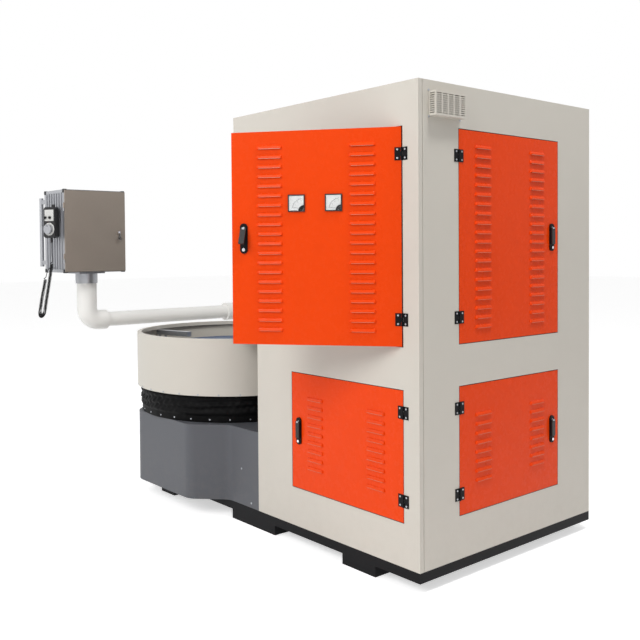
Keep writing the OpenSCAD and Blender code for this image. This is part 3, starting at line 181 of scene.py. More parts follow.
def mix_colour(tree, share, a, b, kind="MIX"):
    node = tree.nodes.new("ShaderNodeMix")
    node.data_type = "RGBA"
    node.blend_type = kind
    for place, value in ((0, share), (6, a), (7, b)):
        feed(tree, node.inputs[place], value)
    return node.outputs[2]


def noise(tree, vector, scale, detail, rough):
    node = tree.nodes.new("ShaderNodeTexNoise")
    feed(tree, node.inputs["Scale"], scale)
    node.inputs["Detail"].default_value = detail
    node.inputs["Roughness"].default_value = rough
    link(tree, vector, node.inputs["Vector"])
    return node.outputs["Fac"]


def ramp(tree, value, low, high):
    """0 at low and 1 at high."""
    node = tree.nodes.new("ShaderNodeMapRange")
    node.inputs["From Min"].default_value = low
    node.inputs["From Max"].default_value = high
    link(tree, value, node.inputs["Value"])
    return node.outputs["Result"]


def bump(tree, height, strength, distance):
    node = tree.nodes.new("ShaderNodeBump")
    node.inputs["Distance"].default_value = distance
    feed(tree, node.inputs["Strength"], strength)
    link(tree, height, node.inputs["Height"])
    return node.outputs[0]


def group(name, inputs):
    """A shader group, with what it is given and what it gives: a colour, a roughness and a normal."""
    tree = bpy.data.node_groups.new(name, "ShaderNodeTree")
    for title, kind, default in inputs:
        socket = tree.interface.new_socket(title, in_out="INPUT", socket_type="NodeSocket" + kind)
        socket.default_value = default
    for title, kind in (("Color", "Color"), ("Roughness", "Float"), ("Normal", "Vector")):
        tree.interface.new_socket(title, in_out="OUTPUT", socket_type="NodeSocket" + kind)
    given, result = tree.nodes.new("NodeGroupInput"), tree.nodes.new("NodeGroupOutput")
    return tree, given.outputs, result.inputs


def paint_group():
    """Powder coat: fine orange peel, soft clouding and dust that settles low down."""
    tree, given, result = group("Powder coat", [
        ("Colour", "Color", (0.8, 0.8, 0.8, 1)), ("Peel size", "Float", 260.0),
        ("Peel height", "Float", 0.12), ("Clouding", "Float", 0.06), ("Dust", "Float", 0.1),
        ("Sheen", "Float", 0.4)])
    place = tree.nodes.new("ShaderNodeTexCoord").outputs["Object"]
    peel = noise(tree, place, given["Peel size"], 2.0, 0.55)
    cloud = noise(tree, place, 1.7, 4.0, 0.6)
    spots = noise(tree, place, 23.0, 5.0, 0.7)
    shade = multiply(tree, math_node(tree, "SUBTRACT", cloud, 0.5), given["Clouding"])
    tone = add(tree, multiply(tree, shade, 2.0), 1.0)
    grey = tree.nodes.new("ShaderNodeCombineColor")
    for i in range(3):
        link(tree, tone, grey.inputs[i])
    body = mix_colour(tree, 1.0, given["Colour"], grey.outputs[0], "MULTIPLY")
    apart = tree.nodes.new("ShaderNodeSeparateXYZ")
    link(tree, place, apart.inputs[0])
    low = ramp(tree, apart.outputs["Z"], 0.55, 0.05)
    dust = multiply(tree, multiply(tree, ramp(tree, spots, 0.45, 0.75), low), given["Dust"], True)
    link(tree, mix_colour(tree, dust, body, srgb(0.62, 0.58, 0.53)), result["Color"])
    rough = add(tree, given["Sheen"], multiply(tree, ramp(tree, spots, 0.3, 0.8), 0.03))
    link(tree, add(tree, rough, multiply(tree, dust, 0.4), True), result["Roughness"])
    link(tree, bump(tree, peel, given["Peel height"], 0.0006), result["Normal"])
    return tree


def brushed_group():
    """Metal ground in one direction: long fine scratches and a few smears."""
    tree, given, result = group("Brushed metal", [
        ("Colour", "Color", (0.8, 0.8, 0.8, 1)), ("Stretch", "Vector", (1, 1, 1)), ("Contrast", "Float", 0.2),
        ("Sheen", "Float", 0.3)])
    place = tree.nodes.new("ShaderNodeTexCoord").outputs["Object"]
    stretch = tree.nodes.new("ShaderNodeVectorMath")
    stretch.operation = "MULTIPLY"
    link(tree, place, stretch.inputs[0])
    link(tree, given["Stretch"], stretch.inputs[1])
    lines = noise(tree, stretch.outputs[0], 1.0, 4.0, 0.65)
    smear = noise(tree, place, 6.0, 3.0, 0.5)
    share = multiply(tree, ramp(tree, lines, 0.3, 0.7), given["Contrast"])
    dark = mix_colour(tree, 1.0, given["Colour"], (0.45, 0.45, 0.45, 1.0), "MULTIPLY")
    link(tree, mix_colour(tree, share, given["Colour"], dark), result["Color"])
    rough = add(tree, given["Sheen"], multiply(tree, smear, 0.12))
    link(tree, add(tree, rough, multiply(tree, lines, 0.08), True), result["Roughness"])
    link(tree, bump(tree, lines, 0.12, 0.0003), result["Normal"])
    return tree


def grain_group():
    """Moulded plastic, rubber and cast surfaces: an even pebble grain, rubbed pale in patches."""
    tree, given, result = group("Moulded grain", [
        ("Colour", "Color", (0.1, 0.1, 0.1, 1)), ("Grain size", "Float", 500.0),
        ("Grain height", "Float", 0.2), ("Wear", "Float", 0.1), ("Sheen", "Float", 0.45)])
    place = tree.nodes.new("ShaderNodeTexCoord").outputs["Object"]
    fine = noise(tree, place, given["Grain size"], 2.0, 0.6)
    patches = noise(tree, place, 14.0, 5.0, 0.65)
    rubbed = multiply(tree, ramp(tree, patches, 0.52, 0.75), given["Wear"])
    pale = mix_colour(tree, 1.0, given["Colour"], (0.22, 0.22, 0.22, 1.0), "ADD")
    link(tree, mix_colour(tree, rubbed, given["Colour"], pale), result["Color"])
    link(tree, add(tree, given["Sheen"], multiply(tree, fine, 0.1), True), result["Roughness"])
    link(tree, bump(tree, fine, given["Grain height"], 0.0004), result["Normal"])
    return tree


GROUPS = {}
FINISHES = {}


def finish(name, kind, *given, **plain):
    """A material from a shared group: given fills the group's sockets in order, plain the shader's own."""
    if name in FINISHES:
        return
    material = bpy.data.materials.new(name)
    material.use_nodes = True
    tree = material.node_tree
    shader = tree.nodes["Principled BSDF"]
    node = tree.nodes.new("ShaderNodeGroup")
    node.node_tree = GROUPS[kind]
    for socket, value in zip(node.inputs, given):
        socket.default_value = value
    link(tree, node.outputs["Color"], shader.inputs["Base Color"])
    link(tree, node.outputs["Roughness"], shader.inputs["Roughness"])
    link(tree, node.outputs["Normal"], shader.inputs["Normal"])
    for title, value in plain.items():
        shader.inputs[title.replace("_", " ")].default_value = value
    FINISHES[name] = material


def make_finishes():
    GROUPS["paint"], GROUPS["brushed"], GROUPS["grain"] = paint_group(), brushed_group(), grain_group()
    c = colours()
    # Colour, peel size, peel height, clouding, dust and sheen
    finish("cream_paint", "paint", c.cream, 420.0, 0.55, 0.03, 0.10, 0.42)
    finish("orange_paint", "paint", c.orange, 190.0, 0.10, 0.02, 0.0, 0.26,
           Coat_Weight=0.05, Coat_Roughness=0.12, Specular_IOR_Level=0.09)
    # Pale orange of the louvres' lower lips: a painted highlight along each lip
    finish("lip_highlight_paint", "paint", srgb(0.86, 0.58, 0.48), 190.0, 0.05, 0.2, 0.0, 0.25)
    finish("grey_paint", "paint", c.base_grey, 320.0, 0.35, 0.06, 0.10, 0.45, Specular_IOR_Level=0.3)
    finish("black_paint", "paint", c.black, 280.0, 0.25, 0.15, 0.0, 0.45, Specular_IOR_Level=0.1)
    finish("arm_paint", "paint", c.arm, 160.0, 0.12, 0.04, 0.0, 0.30)
    # Colour, stretch of the scratches, contrast and sheen
    finish("box_door_metal", "brushed", c.box_door, (60.0, 60.0, 900.0), 0.22, 0.36, Metallic=0.45)
    finish("aluminium", "brushed", c.aluminium, (700.0, 700.0, 12.0), 0.15, 0.28, Metallic=0.8)
    finish("ground_steel", "brushed", srgb(0.70, 0.71, 0.73), (240.0, 240.0, 90.0), 0.25, 0.26, Metallic=1.0)
    finish("chrome", "brushed", srgb(0.88, 0.88, 0.90), (90.0, 90.0, 90.0), 0.05, 0.08, Metallic=1.0)
    finish("chuck_steel", "brushed", srgb(0.34, 0.42, 0.56), (160.0, 160.0, 160.0), 0.3, 0.3, Metallic=0.85)
    # Colour, grain size, grain height, wear and sheen
    finish("casting", "grain", srgb(0.42, 0.43, 0.44), 180.0, 0.5, 0.3, 0.5, Metallic=0.5)
    finish("abrasive", "grain", c.abrasive, 700.0, 1.0, 0.4, 0.85)
    finish("skirt_cloth", "grain", c.skirt, 900.0, 0.5, 0.03, 0.55, Specular_IOR_Level=0.08)
    finish("black_plastic", "grain", srgb(0.10, 0.10, 0.105), 800.0, 0.25, 0.05, 0.36,
           Specular_IOR_Level=0.35)
    finish("black_rubber", "grain", srgb(0.06, 0.06, 0.065), 600.0, 0.3, 0.05, 0.6, Specular_IOR_Level=0.2)
    finish("red_plastic", "grain", srgb(0.80, 0.08, 0.06), 300.0, 0.08, 0.03, 0.25)
    finish("green_plastic", "grain", srgb(0.10, 0.55, 0.25), 300.0, 0.08, 0.03, 0.25)
    finish("white_plate", "grain", srgb(0.80, 0.80, 0.79), 300.0, 0.04, 0.0, 0.35)
    finish("dark_print", "grain", srgb(0.09, 0.09, 0.10), 300.0, 0.02, 0.0, 0.45)
    finish("screen", "grain", srgb(0.05, 0.07, 0.10), 40.0, 0.0, 0.0, 0.08,
           Coat_Weight=0.6, Coat_Roughness=0.05)
    finish("meter_glass", "grain", (0.97, 0.98, 0.99, 1.0), 5.0, 0.0, 0.0, 0.02,
           Transmission_Weight=1.0, IOR=1.1)


# Finish of each solid of the frame
NODE_FINISH = {
    "black_paint": ["machine_bed", "levelling_blocks", "fixed_hinge_leaves", "front_upper_hardware",
                    "front_lower_hardware", "side_upper_hardware", "side_lower_hardware", "feed_motor",
                    "traverse_motor"],
    "black_plastic": ["front_upper_latch_lever", "front_lower_latch_lever", "side_upper_latch_lever",
                      "side_lower_latch_lever", "handwheel_pendant", "pendant_axis_knob", "pendant_rate_knob",
                      "mode_selector", "panel_meters"],
    "cream_paint": ["splash_guard", "coolant_pan", "cabinet_frame", "front_panel", "side_panel", "rear_panel",
                    "left_panel", "roof_panel", "head_hood", "exhaust_vent"],
    "orange_paint": ["front_upper_door", "front_lower_door", "side_upper_door", "side_lower_door"],
    "grey_paint": ["table_base_cover", "table_motor", "wheel_column", "wheel_head"],
    "casting": ["table_pedestal", "table_spindle"],
    "ground_steel": ["coolant_manifold", "motor_pinion", "bull_gear", "cross_rails", "traverse_screw",
                     "feed_screw", "grinding_spindle", "front_upper_latch_cam", "front_lower_latch_cam",
                     "side_upper_latch_cam", "side_lower_latch_cam"],
    "chuck_steel": ["magnetic_chuck"],
    "abrasive": ["grinding_wheel"],
    "arm_paint": ["pendant_arm"],
    "aluminium": ["control_box", "operator_panel", "pendant_dial"],
    "box_door_metal": ["control_box_door"],
    "red_plastic": ["emergency_button"],
    "green_plastic": ["start_button"],
    "skirt_cloth": ["dust_skirt"],
    "black_rubber": ["curly_cord"],
}


# Mesh tools
def finished(name, mesh, material, body, smooth=False):
    """Puts a mesh in the scene at the origin and lets it ride on a body."""
    if material is not None:
        mesh.materials.clear()
        mesh.materials.append(FINISHES[material])
    mesh.polygons.foreach_set("use_smooth", [smooth] * len(mesh.polygons))
    piece = bpy.data.objects.new(name, mesh)
    bpy.context.scene.collection.objects.link(piece)
    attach(piece, body)
    return piece


def from_bmesh(name, bm, material, body, smooth=False):
    """Makes a piece of a bmesh, and frees it."""
    bmesh.ops.remove_doubles(bm, verts=bm.verts, dist=1e-6)
    bmesh.ops.recalc_face_normals(bm, faces=bm.faces)
    mesh = bpy.data.meshes.new(name)
    bm.to_mesh(mesh)
    bm.free()
    return finished(name, mesh, material, body, smooth)


def add_block(bm, low, high, place=Matrix(), bevel=0.0):
    """A box between two corners, with rounded edges where bevel is given."""
    part = bmesh.new()
    bmesh.ops.create_cube(part, size=1.0)
    low, high = Vector(low), Vector(high)
    size, mid = high - low, (high + low) / 2
    for v in part.verts:
        v.co = Vector(v.co[i] * size[i] + mid[i] for i in range(3))
    if bevel:
        bmesh.ops.bevel(part, geom=part.edges[:], offset=bevel, segments=2, affect="EDGES", profile=0.7)
    append(bm, part, place)


def add_disc(bm, radius, depth, place=Matrix(), segments=24, bevel=0.0):
    """A round piece along its own Z from 0 to depth, with a rounded front rim where bevel is given."""
    part = bmesh.new()
    bmesh.ops.create_cone(part, cap_ends=True, segments=segments, radius1=radius, radius2=radius, depth=depth,
                          matrix=Matrix.Translation((0, 0, depth / 2)))
    if bevel:
        rim = [e for e in part.edges if all(abs(v.co.z - depth) < 1e-7 for v in e.verts)]
        bmesh.ops.bevel(part, geom=rim, offset=bevel, segments=2, affect="EDGES", profile=0.7)
    append(bm, part, place)


def add_ring(bm, outer, inner, depth, place=Matrix(), segments=48, sweep=360.0, start=0.0):
    """A flat ring, or a part of one, along its own Z from 0 to depth."""
    part = bmesh.new()
    count = segments if sweep >= 360.0 else segments + 1
    rows = []
    for i in range(count):
        a = math.radians(start + sweep * i / segments)
        rows.append([part.verts.new((r * math.cos(a), r * math.sin(a), z))
                     for r, z in ((inner, 0.0), (outer, 0.0), (outer, depth), (inner, depth))])
    for i in range(segments):
        a, b = rows[i], rows[(i + 1) % count]
        for k in range(4):
            part.faces.new((a[k], b[k], b[(k + 1) % 4], a[(k + 1) % 4]))
    if sweep < 360.0:
        part.faces.new(rows[0])
        part.faces.new(rows[-1][::-1])
    append(bm, part, place)


def append(bm, part, place):
    """Adds a part to a bmesh at its place, and frees the part."""
    mesh = bpy.data.meshes.new("part")
    part.transform(place)
    bmesh.ops.recalc_face_normals(part, faces=part.faces)
    part.to_mesh(mesh)
    part.free()
    bm.from_mesh(mesh)
    bpy.data.meshes.remove(mesh)


def door_place(name):
    """From a door's own coordinates (x from the hinge edge, y outwards, z up) to the frame's, at rest."""
    swing = Matrix.Rotation(math.radians(DOORS[name].ajar), 4, "Z")
    return frame_place(name) @ Matrix.Translation(PIN) @ swing @ Matrix.Translation(-PIN)


def frame_place(name):
    """The same for the door when it is closed."""
    if DOORS[name].side == "front":
        return Matrix.Translation((FRONT_HINGE_X, FRONT_Y, 0)) @ Matrix.Rotation(math.pi, 4, "Z")
    mirror = Matrix(((0, 1, 0, 0), (1, 0, 0, 0), (0, 0, 1, 0), (0, 0, 0, 1)))
    return Matrix.Translation((CAB_RIGHT, SIDE_HINGE_Y, 0)) @ mirror


def outward(x, y, z, facing):
    """A place whose own Z looks along facing."""
    turn = Vector(facing).to_track_quat("Z", "Y").to_matrix().to_4x4()
    return Matrix.Translation((x, y, z)) @ turn


# Repeats by geometry nodes
def scatter_tree(name):
    """Sets one part on each point, with its Z along the point's facing, and gives it a material."""
    tree = bpy.data.node_groups.new(name, "GeometryNodeTree")
    for title, kind in (("Geometry", "Geometry"), ("Part", "Object"), ("Finish", "Material"),
                        ("Size", "Float")):
        tree.interface.new_socket(title, in_out="INPUT", socket_type="NodeSocket" + kind)
    tree.interface.new_socket("Geometry", in_out="OUTPUT", socket_type="NodeSocketGeometry")
    given = tree.nodes.new("NodeGroupInput").outputs
    result = tree.nodes.new("NodeGroupOutput").inputs
    part = tree.nodes.new("GeometryNodeObjectInfo")
    facing = tree.nodes.new("GeometryNodeInputNamedAttribute")
    facing.data_type = "FLOAT_VECTOR"
    facing.inputs["Name"].default_value = "facing"
    turn = tree.nodes.new("FunctionNodeAlignRotationToVector")
    turn.axis = "Z"
    place = tree.nodes.new("GeometryNodeInstanceOnPoints")
    real = tree.nodes.new("GeometryNodeRealizeInstances")
    paint = tree.nodes.new("GeometryNodeSetMaterial")
    for a, b in ((given["Part"], part.inputs["Object"]),
                 (facing.outputs["Attribute"], turn.inputs["Vector"]),
                 (given["Geometry"], place.inputs["Points"]),
                 (part.outputs["Geometry"], place.inputs["Instance"]),
                 (turn.outputs["Rotation"], place.inputs["Rotation"]),
                 (given["Size"], place.inputs["Scale"]),
                 (place.outputs["Instances"], real.inputs["Geometry"]),
                 (real.outputs["Geometry"], paint.inputs["Geometry"]),
                 (given["Finish"], paint.inputs["Material"]),
                 (paint.outputs["Geometry"], result["Geometry"])):
        link(tree, a, b)
    return tree


def scatter(name, part, spots, size, material, body):
    """A piece made of copies of part, one at each (place, facing) of spots."""
    tree = bpy.data.node_groups.get("Set fasteners") or scatter_tree("Set fasteners")
    mesh = bpy.data.meshes.new(name)
    mesh.from_pydata([tuple(at) for at, _ in spots], [], [])
    facing = mesh.attributes.new("facing", "FLOAT_VECTOR", "POINT")
    facing.data.foreach_set("vector", [c for _, way in spots for c in way])
    holder = bpy.data.objects.new(name + "_points", mesh)
    bpy.context.scene.collection.objects.link(holder)
    modifier = holder.modifiers.new("fasteners", "NODES")
    modifier.node_group = tree
    values = {"Part": part, "Finish": FINISHES[material], "Size": size}
    for item in tree.interface.items_tree:
        if item.in_out == "INPUT" and item.name in values:
            modifier[item.identifier] = values[item.name]
    bpy.context.view_layer.update()
    evaluated = holder.evaluated_get(bpy.context.evaluated_depsgraph_get())
    result = bpy.data.meshes.new_from_object(evaluated)
    bpy.data.objects.remove(holder)
    return finished(name, result, None, body)


def hidden_part(name, bm):
    """A part that only the geometry nodes use."""
    mesh = bpy.data.meshes.new(name)
    bmesh.ops.recalc_face_normals(bm, faces=bm.faces)
    bm.to_mesh(mesh)
    bm.free()
    return bpy.data.objects.new(name, mesh)


def screw_part():
    """Pan head of radius 1."""
    bm = bmesh.new()
    add_disc(bm, 1.0, 0.42, segments=18, bevel=0.16)
    return hidden_part("pan_head", bm)


class Finished:
    bl_options = {"REGISTER", "UNDO"}


class GRINDER_OT_solids(Finished, bpy.types.Operator):
    """Give every solid of the frame its finish"""
    bl_idname = "grinder.solids"
    bl_label = "Finish the solids"

    def execute(self, context):
        make_finishes()
        done = set()
        for material, nodes in NODE_FINISH.items():
            for node in nodes:
                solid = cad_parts[node]
                solid.data.materials.clear()
                solid.data.materials.append(FINISHES[material])
                done.add(node)
        left = set(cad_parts) - done
        if left:
            raise RuntimeError(f"no finish for {sorted(left)}")
        return {"FINISHED"}


class GRINDER_OT_gap_shade(Finished, bpy.types.Operator):
    """Black rubber frames filling the gaps round the four doors, as painted shade for the dark gaps"""
    bl_idname = "grinder.gaskets"
    bl_label = "Door gap shade"

    def execute(self, context):
        bm = bmesh.new()
        wide, inner_y, outer_y = sizes().gap_shade_width, -0.021, -0.0015
        left, right = -DOOR_GAP, DOOR_W + DOOR_GAP
        for name, door in DOORS.items():
            place = frame_place(name)
            low, high = door.low - DOOR_GAP, door.low + door.height + DOOR_GAP
            for u0, z0, u1, z1 in ((left, low, right, low + wide), (left, high - wide, right, high),
                                   (left, low + wide, left + wide, high - wide),
                                   (right - wide, low + wide, right, high - wide)):
                add_block(bm, (u0, inner_y, z0), (u1, outer_y, z1), place)
        # Black frames that fill the door gaps: painted shade for the gaps
        from_bmesh("door_gaskets", bm, "black_rubber", "machine")
        return {"FINISHED"}


class GRINDER_OT_hinge_screws(Finished, bpy.types.Operator):
    """Screws of the fixed and moving hinge leaves"""
    bl_idname = "grinder.hinge_screws"
    bl_label = "Hinge screws"

    def execute(self, context):
        part = screw_part()
        fixed = []
        for name, door in DOORS.items():
            still, moving = frame_place(name), door_place(name)
            ride = []
            for at in (door.low + door.hinge_in, door.low + door.height - door.hinge_in):
                for up in (-HINGE_SCREW_UP, HINGE_SCREW_UP):
                    for spots, place, u in ((fixed, still, FIXED_SCREW_U), (ride, moving, MOVING_SCREW_U)):
                        spot = place @ Vector((u, LEAF_Y, at + up))
                        spots.append((spot, (place.to_3x3() @ Vector((0, 1, 0))).normalized()))
            scatter(name + "_hinge_screws", part, ride, sizes().hinge_screw, "ground_steel", name + "_door")
        scatter("fixed_hinge_screws", part, fixed, sizes().hinge_screw, "ground_steel", "machine")
        return {"FINISHED"}


def add_louvre_end(bm, place, side):
    """Rounded end of a louvre's hood, an eighth of an egg that is level with the hood's opening."""
    steps, reach, sunk = 6, 0.008, 0.0004
    corners = [Vector((-side * sunk, -sunk, z)) for z in (0.0, LOUVRE_H)]
    for j in range(1, steps + 1):
        down = math.pi / 2 * j / steps
        for i in range(steps + 1):
            turn = math.pi / 2 * i / steps
            along = side * reach * math.sin(down) * math.sin(turn)
            out = LOUVRE_OUT * math.sin(down) * math.cos(turn) if i < steps else -sunk
            corners.append(Vector((along, out, LOUVRE_H * math.cos(down))))
    hull = bmesh.ops.convex_hull(bm, input=[bm.verts.new(place @ corner) for corner in corners])
    bmesh.ops.delete(bm, geom=hull["geom_interior"] + hull["geom_unused"], context="VERTS")


class GRINDER_OT_louvres(Finished, bpy.types.Operator):
    """Rounded ends of the doors' pressed louvres, and a painted highlight along each louvre's lip"""
    bl_idname = "grinder.louvres"
    bl_label = "Louvre ends"

    def execute(self, context):
        lip, half, sunk, proud, crease = sizes().louvre_highlight, LOUVRE_LEN / 2 - 0.002, 0.0012, 0.0002, 40
        for name, door in DOORS.items():
            place = door_place(name)
            first = door.low + door.height / 2 - LOUVRE_PITCH * (door.rows - 1) / 2 - LOUVRE_H / 2
            ends, highlight_strips = bmesh.new(), bmesh.new()
            for u in LOUVRE_MIDS:
                for i in range(door.rows):
                    for side in (-1, 1):
                        at = Vector((u + side * LOUVRE_LEN / 2, 0, first + i * LOUVRE_PITCH))
                        add_louvre_end(ends, place @ Matrix.Translation(at), side)
                    low = place @ Matrix.Translation((u, LOUVRE_OUT, first + i * LOUVRE_PITCH))
                    # A paler strip along the hood's lower lip: a painted highlight
                    add_block(highlight_strips, (-half, -sunk, -lip / 3), (half, proud, lip * 2 / 3), low)
            bmesh.ops.recalc_face_normals(ends, faces=ends.faces)
            for edge in ends.edges:
                edge.smooth = edge.calc_face_angle(0.0) < math.radians(crease)
            from_bmesh(name + "_louvre_ends", ends, "orange_paint", name + "_door",
                       smooth=True)
            from_bmesh(name + "_louvre_lips", highlight_strips, "lip_highlight_paint", name + "_door")
        return {"FINISHED"}


class GRINDER_OT_latches(Finished, bpy.types.Operator):
    """Key cylinders of the swing handle latches"""
    bl_idname = "grinder.latches"
    bl_label = "Latch fittings"

    def execute(self, context):
        for name, door in DOORS.items():
            at = Vector((DOOR_W - LATCH_IN, KEY_Y, door.low + door.height / 2 - KEY_DROP))
            face = door_place(name) @ Matrix.Translation(at) @ Matrix.Rotation(-math.pi / 2, 4, "X")
            bm = bmesh.new()
            add_disc(bm, 0.0078, 0.0016, face, bevel=0.0005)
            add_block(bm, (-0.0008, -0.0042, 0.0014), (0.0008, 0.0042, 0.0022), face)
            from_bmesh(name + "_key_cylinder", bm, "chrome", name + "_door")
        return {"FINISHED"}


class GRINDER_OT_meters(Finished, bpy.types.Operator):
    """Dials, scales, needles and glass of the two panel meters"""
    bl_idname = "grinder.meters"
    bl_label = "Panel meters"

    def execute(self, context):
        body, slot = "front_upper_door", "meter"
        plates, marks, glass = bmesh.new(), bmesh.new(), bmesh.new()
        labels = []
        # The scale's radius and angles round a corner of the dial, and the thickness of print
        scale_r, start, sweep, ticks, ink = 0.0500, 96.0, 78.0, 30, 0.0003
        outwards = Matrix(((-1, 0, 0, 0), (0, 0, 1, 0), (0, 1, 0, 0), (0, 0, 0, 1)))
        for u, pointing, numbers in ((0.329, 172.0, "0246"), (0.514, 166.0, "0123")):
            face = door_place("front_upper") @ Matrix.Translation((u, METER_Y, METER_Z)) @ outwards
            add_block(plates, (-0.0365, -0.0365, 0.0), (0.0365, 0.0365, 0.0006), face)
            corner = face @ Matrix.Translation((0.030, -0.030, 0.0006))
            add_ring(marks, 0.0505, 0.0496, ink, corner, 40, sweep, start)
            for i in range(ticks + 1):
                long, half = (0.003, 0.00025) if i % 5 else (0.0055, 0.0004)
                tick = corner @ Matrix.Rotation(math.radians(start + sweep * i / ticks), 4, "Z")
                add_block(marks, (scale_r, -half, 0.0), (scale_r + long, half, ink), tick)
            hub = corner @ Matrix.Translation((0.0065, -0.0065, 0))
            add_ring(marks, 0.0260, 0.0001, 0.0012, hub, 24, 90.0, 90.0)
            needle = corner @ Matrix.Rotation(math.radians(pointing), 4, "Z")
            add_block(marks, (0.010, -0.0004, 0.0008), (0.047, 0.0004, 0.0012), needle)
            for i, number in enumerate(numbers):
                a = math.radians(172.0 - 74.0 * i / 3)
                spot = corner @ Matrix.Translation((0.0425 * math.cos(a), 0.0425 * math.sin(a), 0.0))
                labels.append((number, spot, 0.0075))
            add_block(glass, (-0.0368, -0.0368, 0.0022), (0.0368, 0.0368, 0.0030), face)
        from_bmesh("meter_dials", plates, "white_plate", body)
        write_labels(marks, labels)
        from_bmesh("meter_scales", marks, "dark_print", body)
        from_bmesh("meter_windows", glass, "meter_glass", body)
        return {"FINISHED"}


def write_labels(bm, labels):
    """Adds plain numbers as flat meshes: (text, place, height)."""
    for text, place, height in labels:
        curve = bpy.data.curves.new("number", "FONT")
        curve.body = text
        curve.size = height
        curve.align_x = "CENTER"
        curve.align_y = "CENTER"
        curve.resolution_u = 3
        curve.extrude = 0.0002
        holder = bpy.data.objects.new("number", curve)
        mesh = bpy.data.meshes.new_from_object(holder)
        mesh.transform(place @ Matrix.Translation((0, 0, 0.0002)))
        bm.from_mesh(mesh)
        bpy.data.objects.remove(holder)
        bpy.data.curves.remove(curve)
        bpy.data.meshes.remove(mesh)


def skirt_radius(a, z, fold):
    """Outer radius of the skirt: flat at the hem, with three pleats above it that wander and pinch."""
    rest = SKIRT_R + SKIRT_THICK
    if z <= SKIRT_HEM:
        return rest + 0.0006 * math.sin(23 * a)
    k = (z - SKIRT_HEM) / (SKIRT_TOP - SKIRT_HEM)
    wander = 0.16 * math.sin(3 * a + 0.7) + 0.12 * math.sin(7 * a + 2.1) + 0.07 * math.sin(17 * a)
    pleat = (1 - math.cos(2 * math.pi * (3 * k + wander * math.sin(math.pi * k)))) / 2
    pinch = 0.5 + 0.5 * math.sin(5 * a + 4 * k) * math.sin(11 * a + 1.3)
    small = (0.0016 * math.sin(61 * a + 9 * k) + 0.0012 * math.sin(97 * a - 14 * k)) * math.sin(math.pi * k)
    return rest + fold * pleat * (0.55 + 0.45 * pinch) + small


def ring_spots(count, shift, radius, z):
    """Places evenly round the table's axis, each facing outwards."""
    spots = []
    for i in range(count):
        a = 2 * math.pi * (i + shift) / count
        way = Vector((math.cos(a), math.sin(a), 0))
        spots.append((way * radius + Vector((0, 0, z)), way))
    return spots


class GRINDER_OT_skirt(Finished, bpy.types.Operator):
    """Pleated dust skirt with its sags and creases, and the screws of its hem"""
    bl_idname = "grinder.skirt"
    bl_label = "Dust skirt"

    def execute(self, context):
        around, up, fold = 720, 72, sizes().fold
        bm = bmesh.new()
        skins = []
        for inner in (0.0, SKIRT_THICK):
            rows = []
            for j in range(up + 1):
                z = SKIRT_LOW + (SKIRT_TOP - SKIRT_LOW) * j / up
                row = []
                for i in range(around):
                    a = 2 * math.pi * i / around
                    r = skirt_radius(a, z, fold) - inner
                    row.append(bm.verts.new((r * math.cos(a), r * math.sin(a), z)))
                rows.append(row)
            skins.append(rows)
            for j in range(up):
                for i in range(around):
                    k = (i + 1) % around
                    quad = (rows[j][i], rows[j][k], rows[j + 1][k], rows[j + 1][i])
                    bm.faces.new(quad[::-1] if inner else quad)
        for j in (0, up):
            for i in range(around):
                k = (i + 1) % around
                quad = (skins[0][j][i], skins[0][j][k], skins[1][j][k], skins[1][j][i])
                bm.faces.new(quad if j else quad[::-1])
        area = sum(f.calc_area() for f in bm.faces) / 2
        piece = from_bmesh("dust_skirt_cloth", bm, "skirt_cloth", "machine", smooth=True)
        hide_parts("dust_skirt")
        spots = ring_spots(HEM_SCREWS, 0.5, HEM_SCREW_R, HEM_SCREW_Z)
        scatter("skirt_hem_screws", screw_part(), spots, sizes().skirt_screw, "ground_steel", "machine")
        return {"FINISHED"}


class GRINDER_OT_cover_screws(Finished, bpy.types.Operator):
    """Screws of the base cover, the guard's foot and the vent"""
    bl_idname = "grinder.cover_screws"
    bl_label = "Cover screws"

    def execute(self, context):
        spots = [(Vector((x, FRONT_Y, z)), Vector((0, -1, 0))) for x, z in COVER_SCREWS]
        spots += ring_spots(HEM_SCREWS, 0, GUARD_R, GUARD_SCREW_Z)
        for y in VENT_SCREW_YS:
            for z in VENT_SCREW_ZS:
                spots.append((Vector((CAB_RIGHT + 0.002, y, z)), Vector((1, 0, 0))))
        scatter("cover_screws", screw_part(), spots, sizes().cover_screw, "ground_steel", "machine")
        return {"FINISHED"}


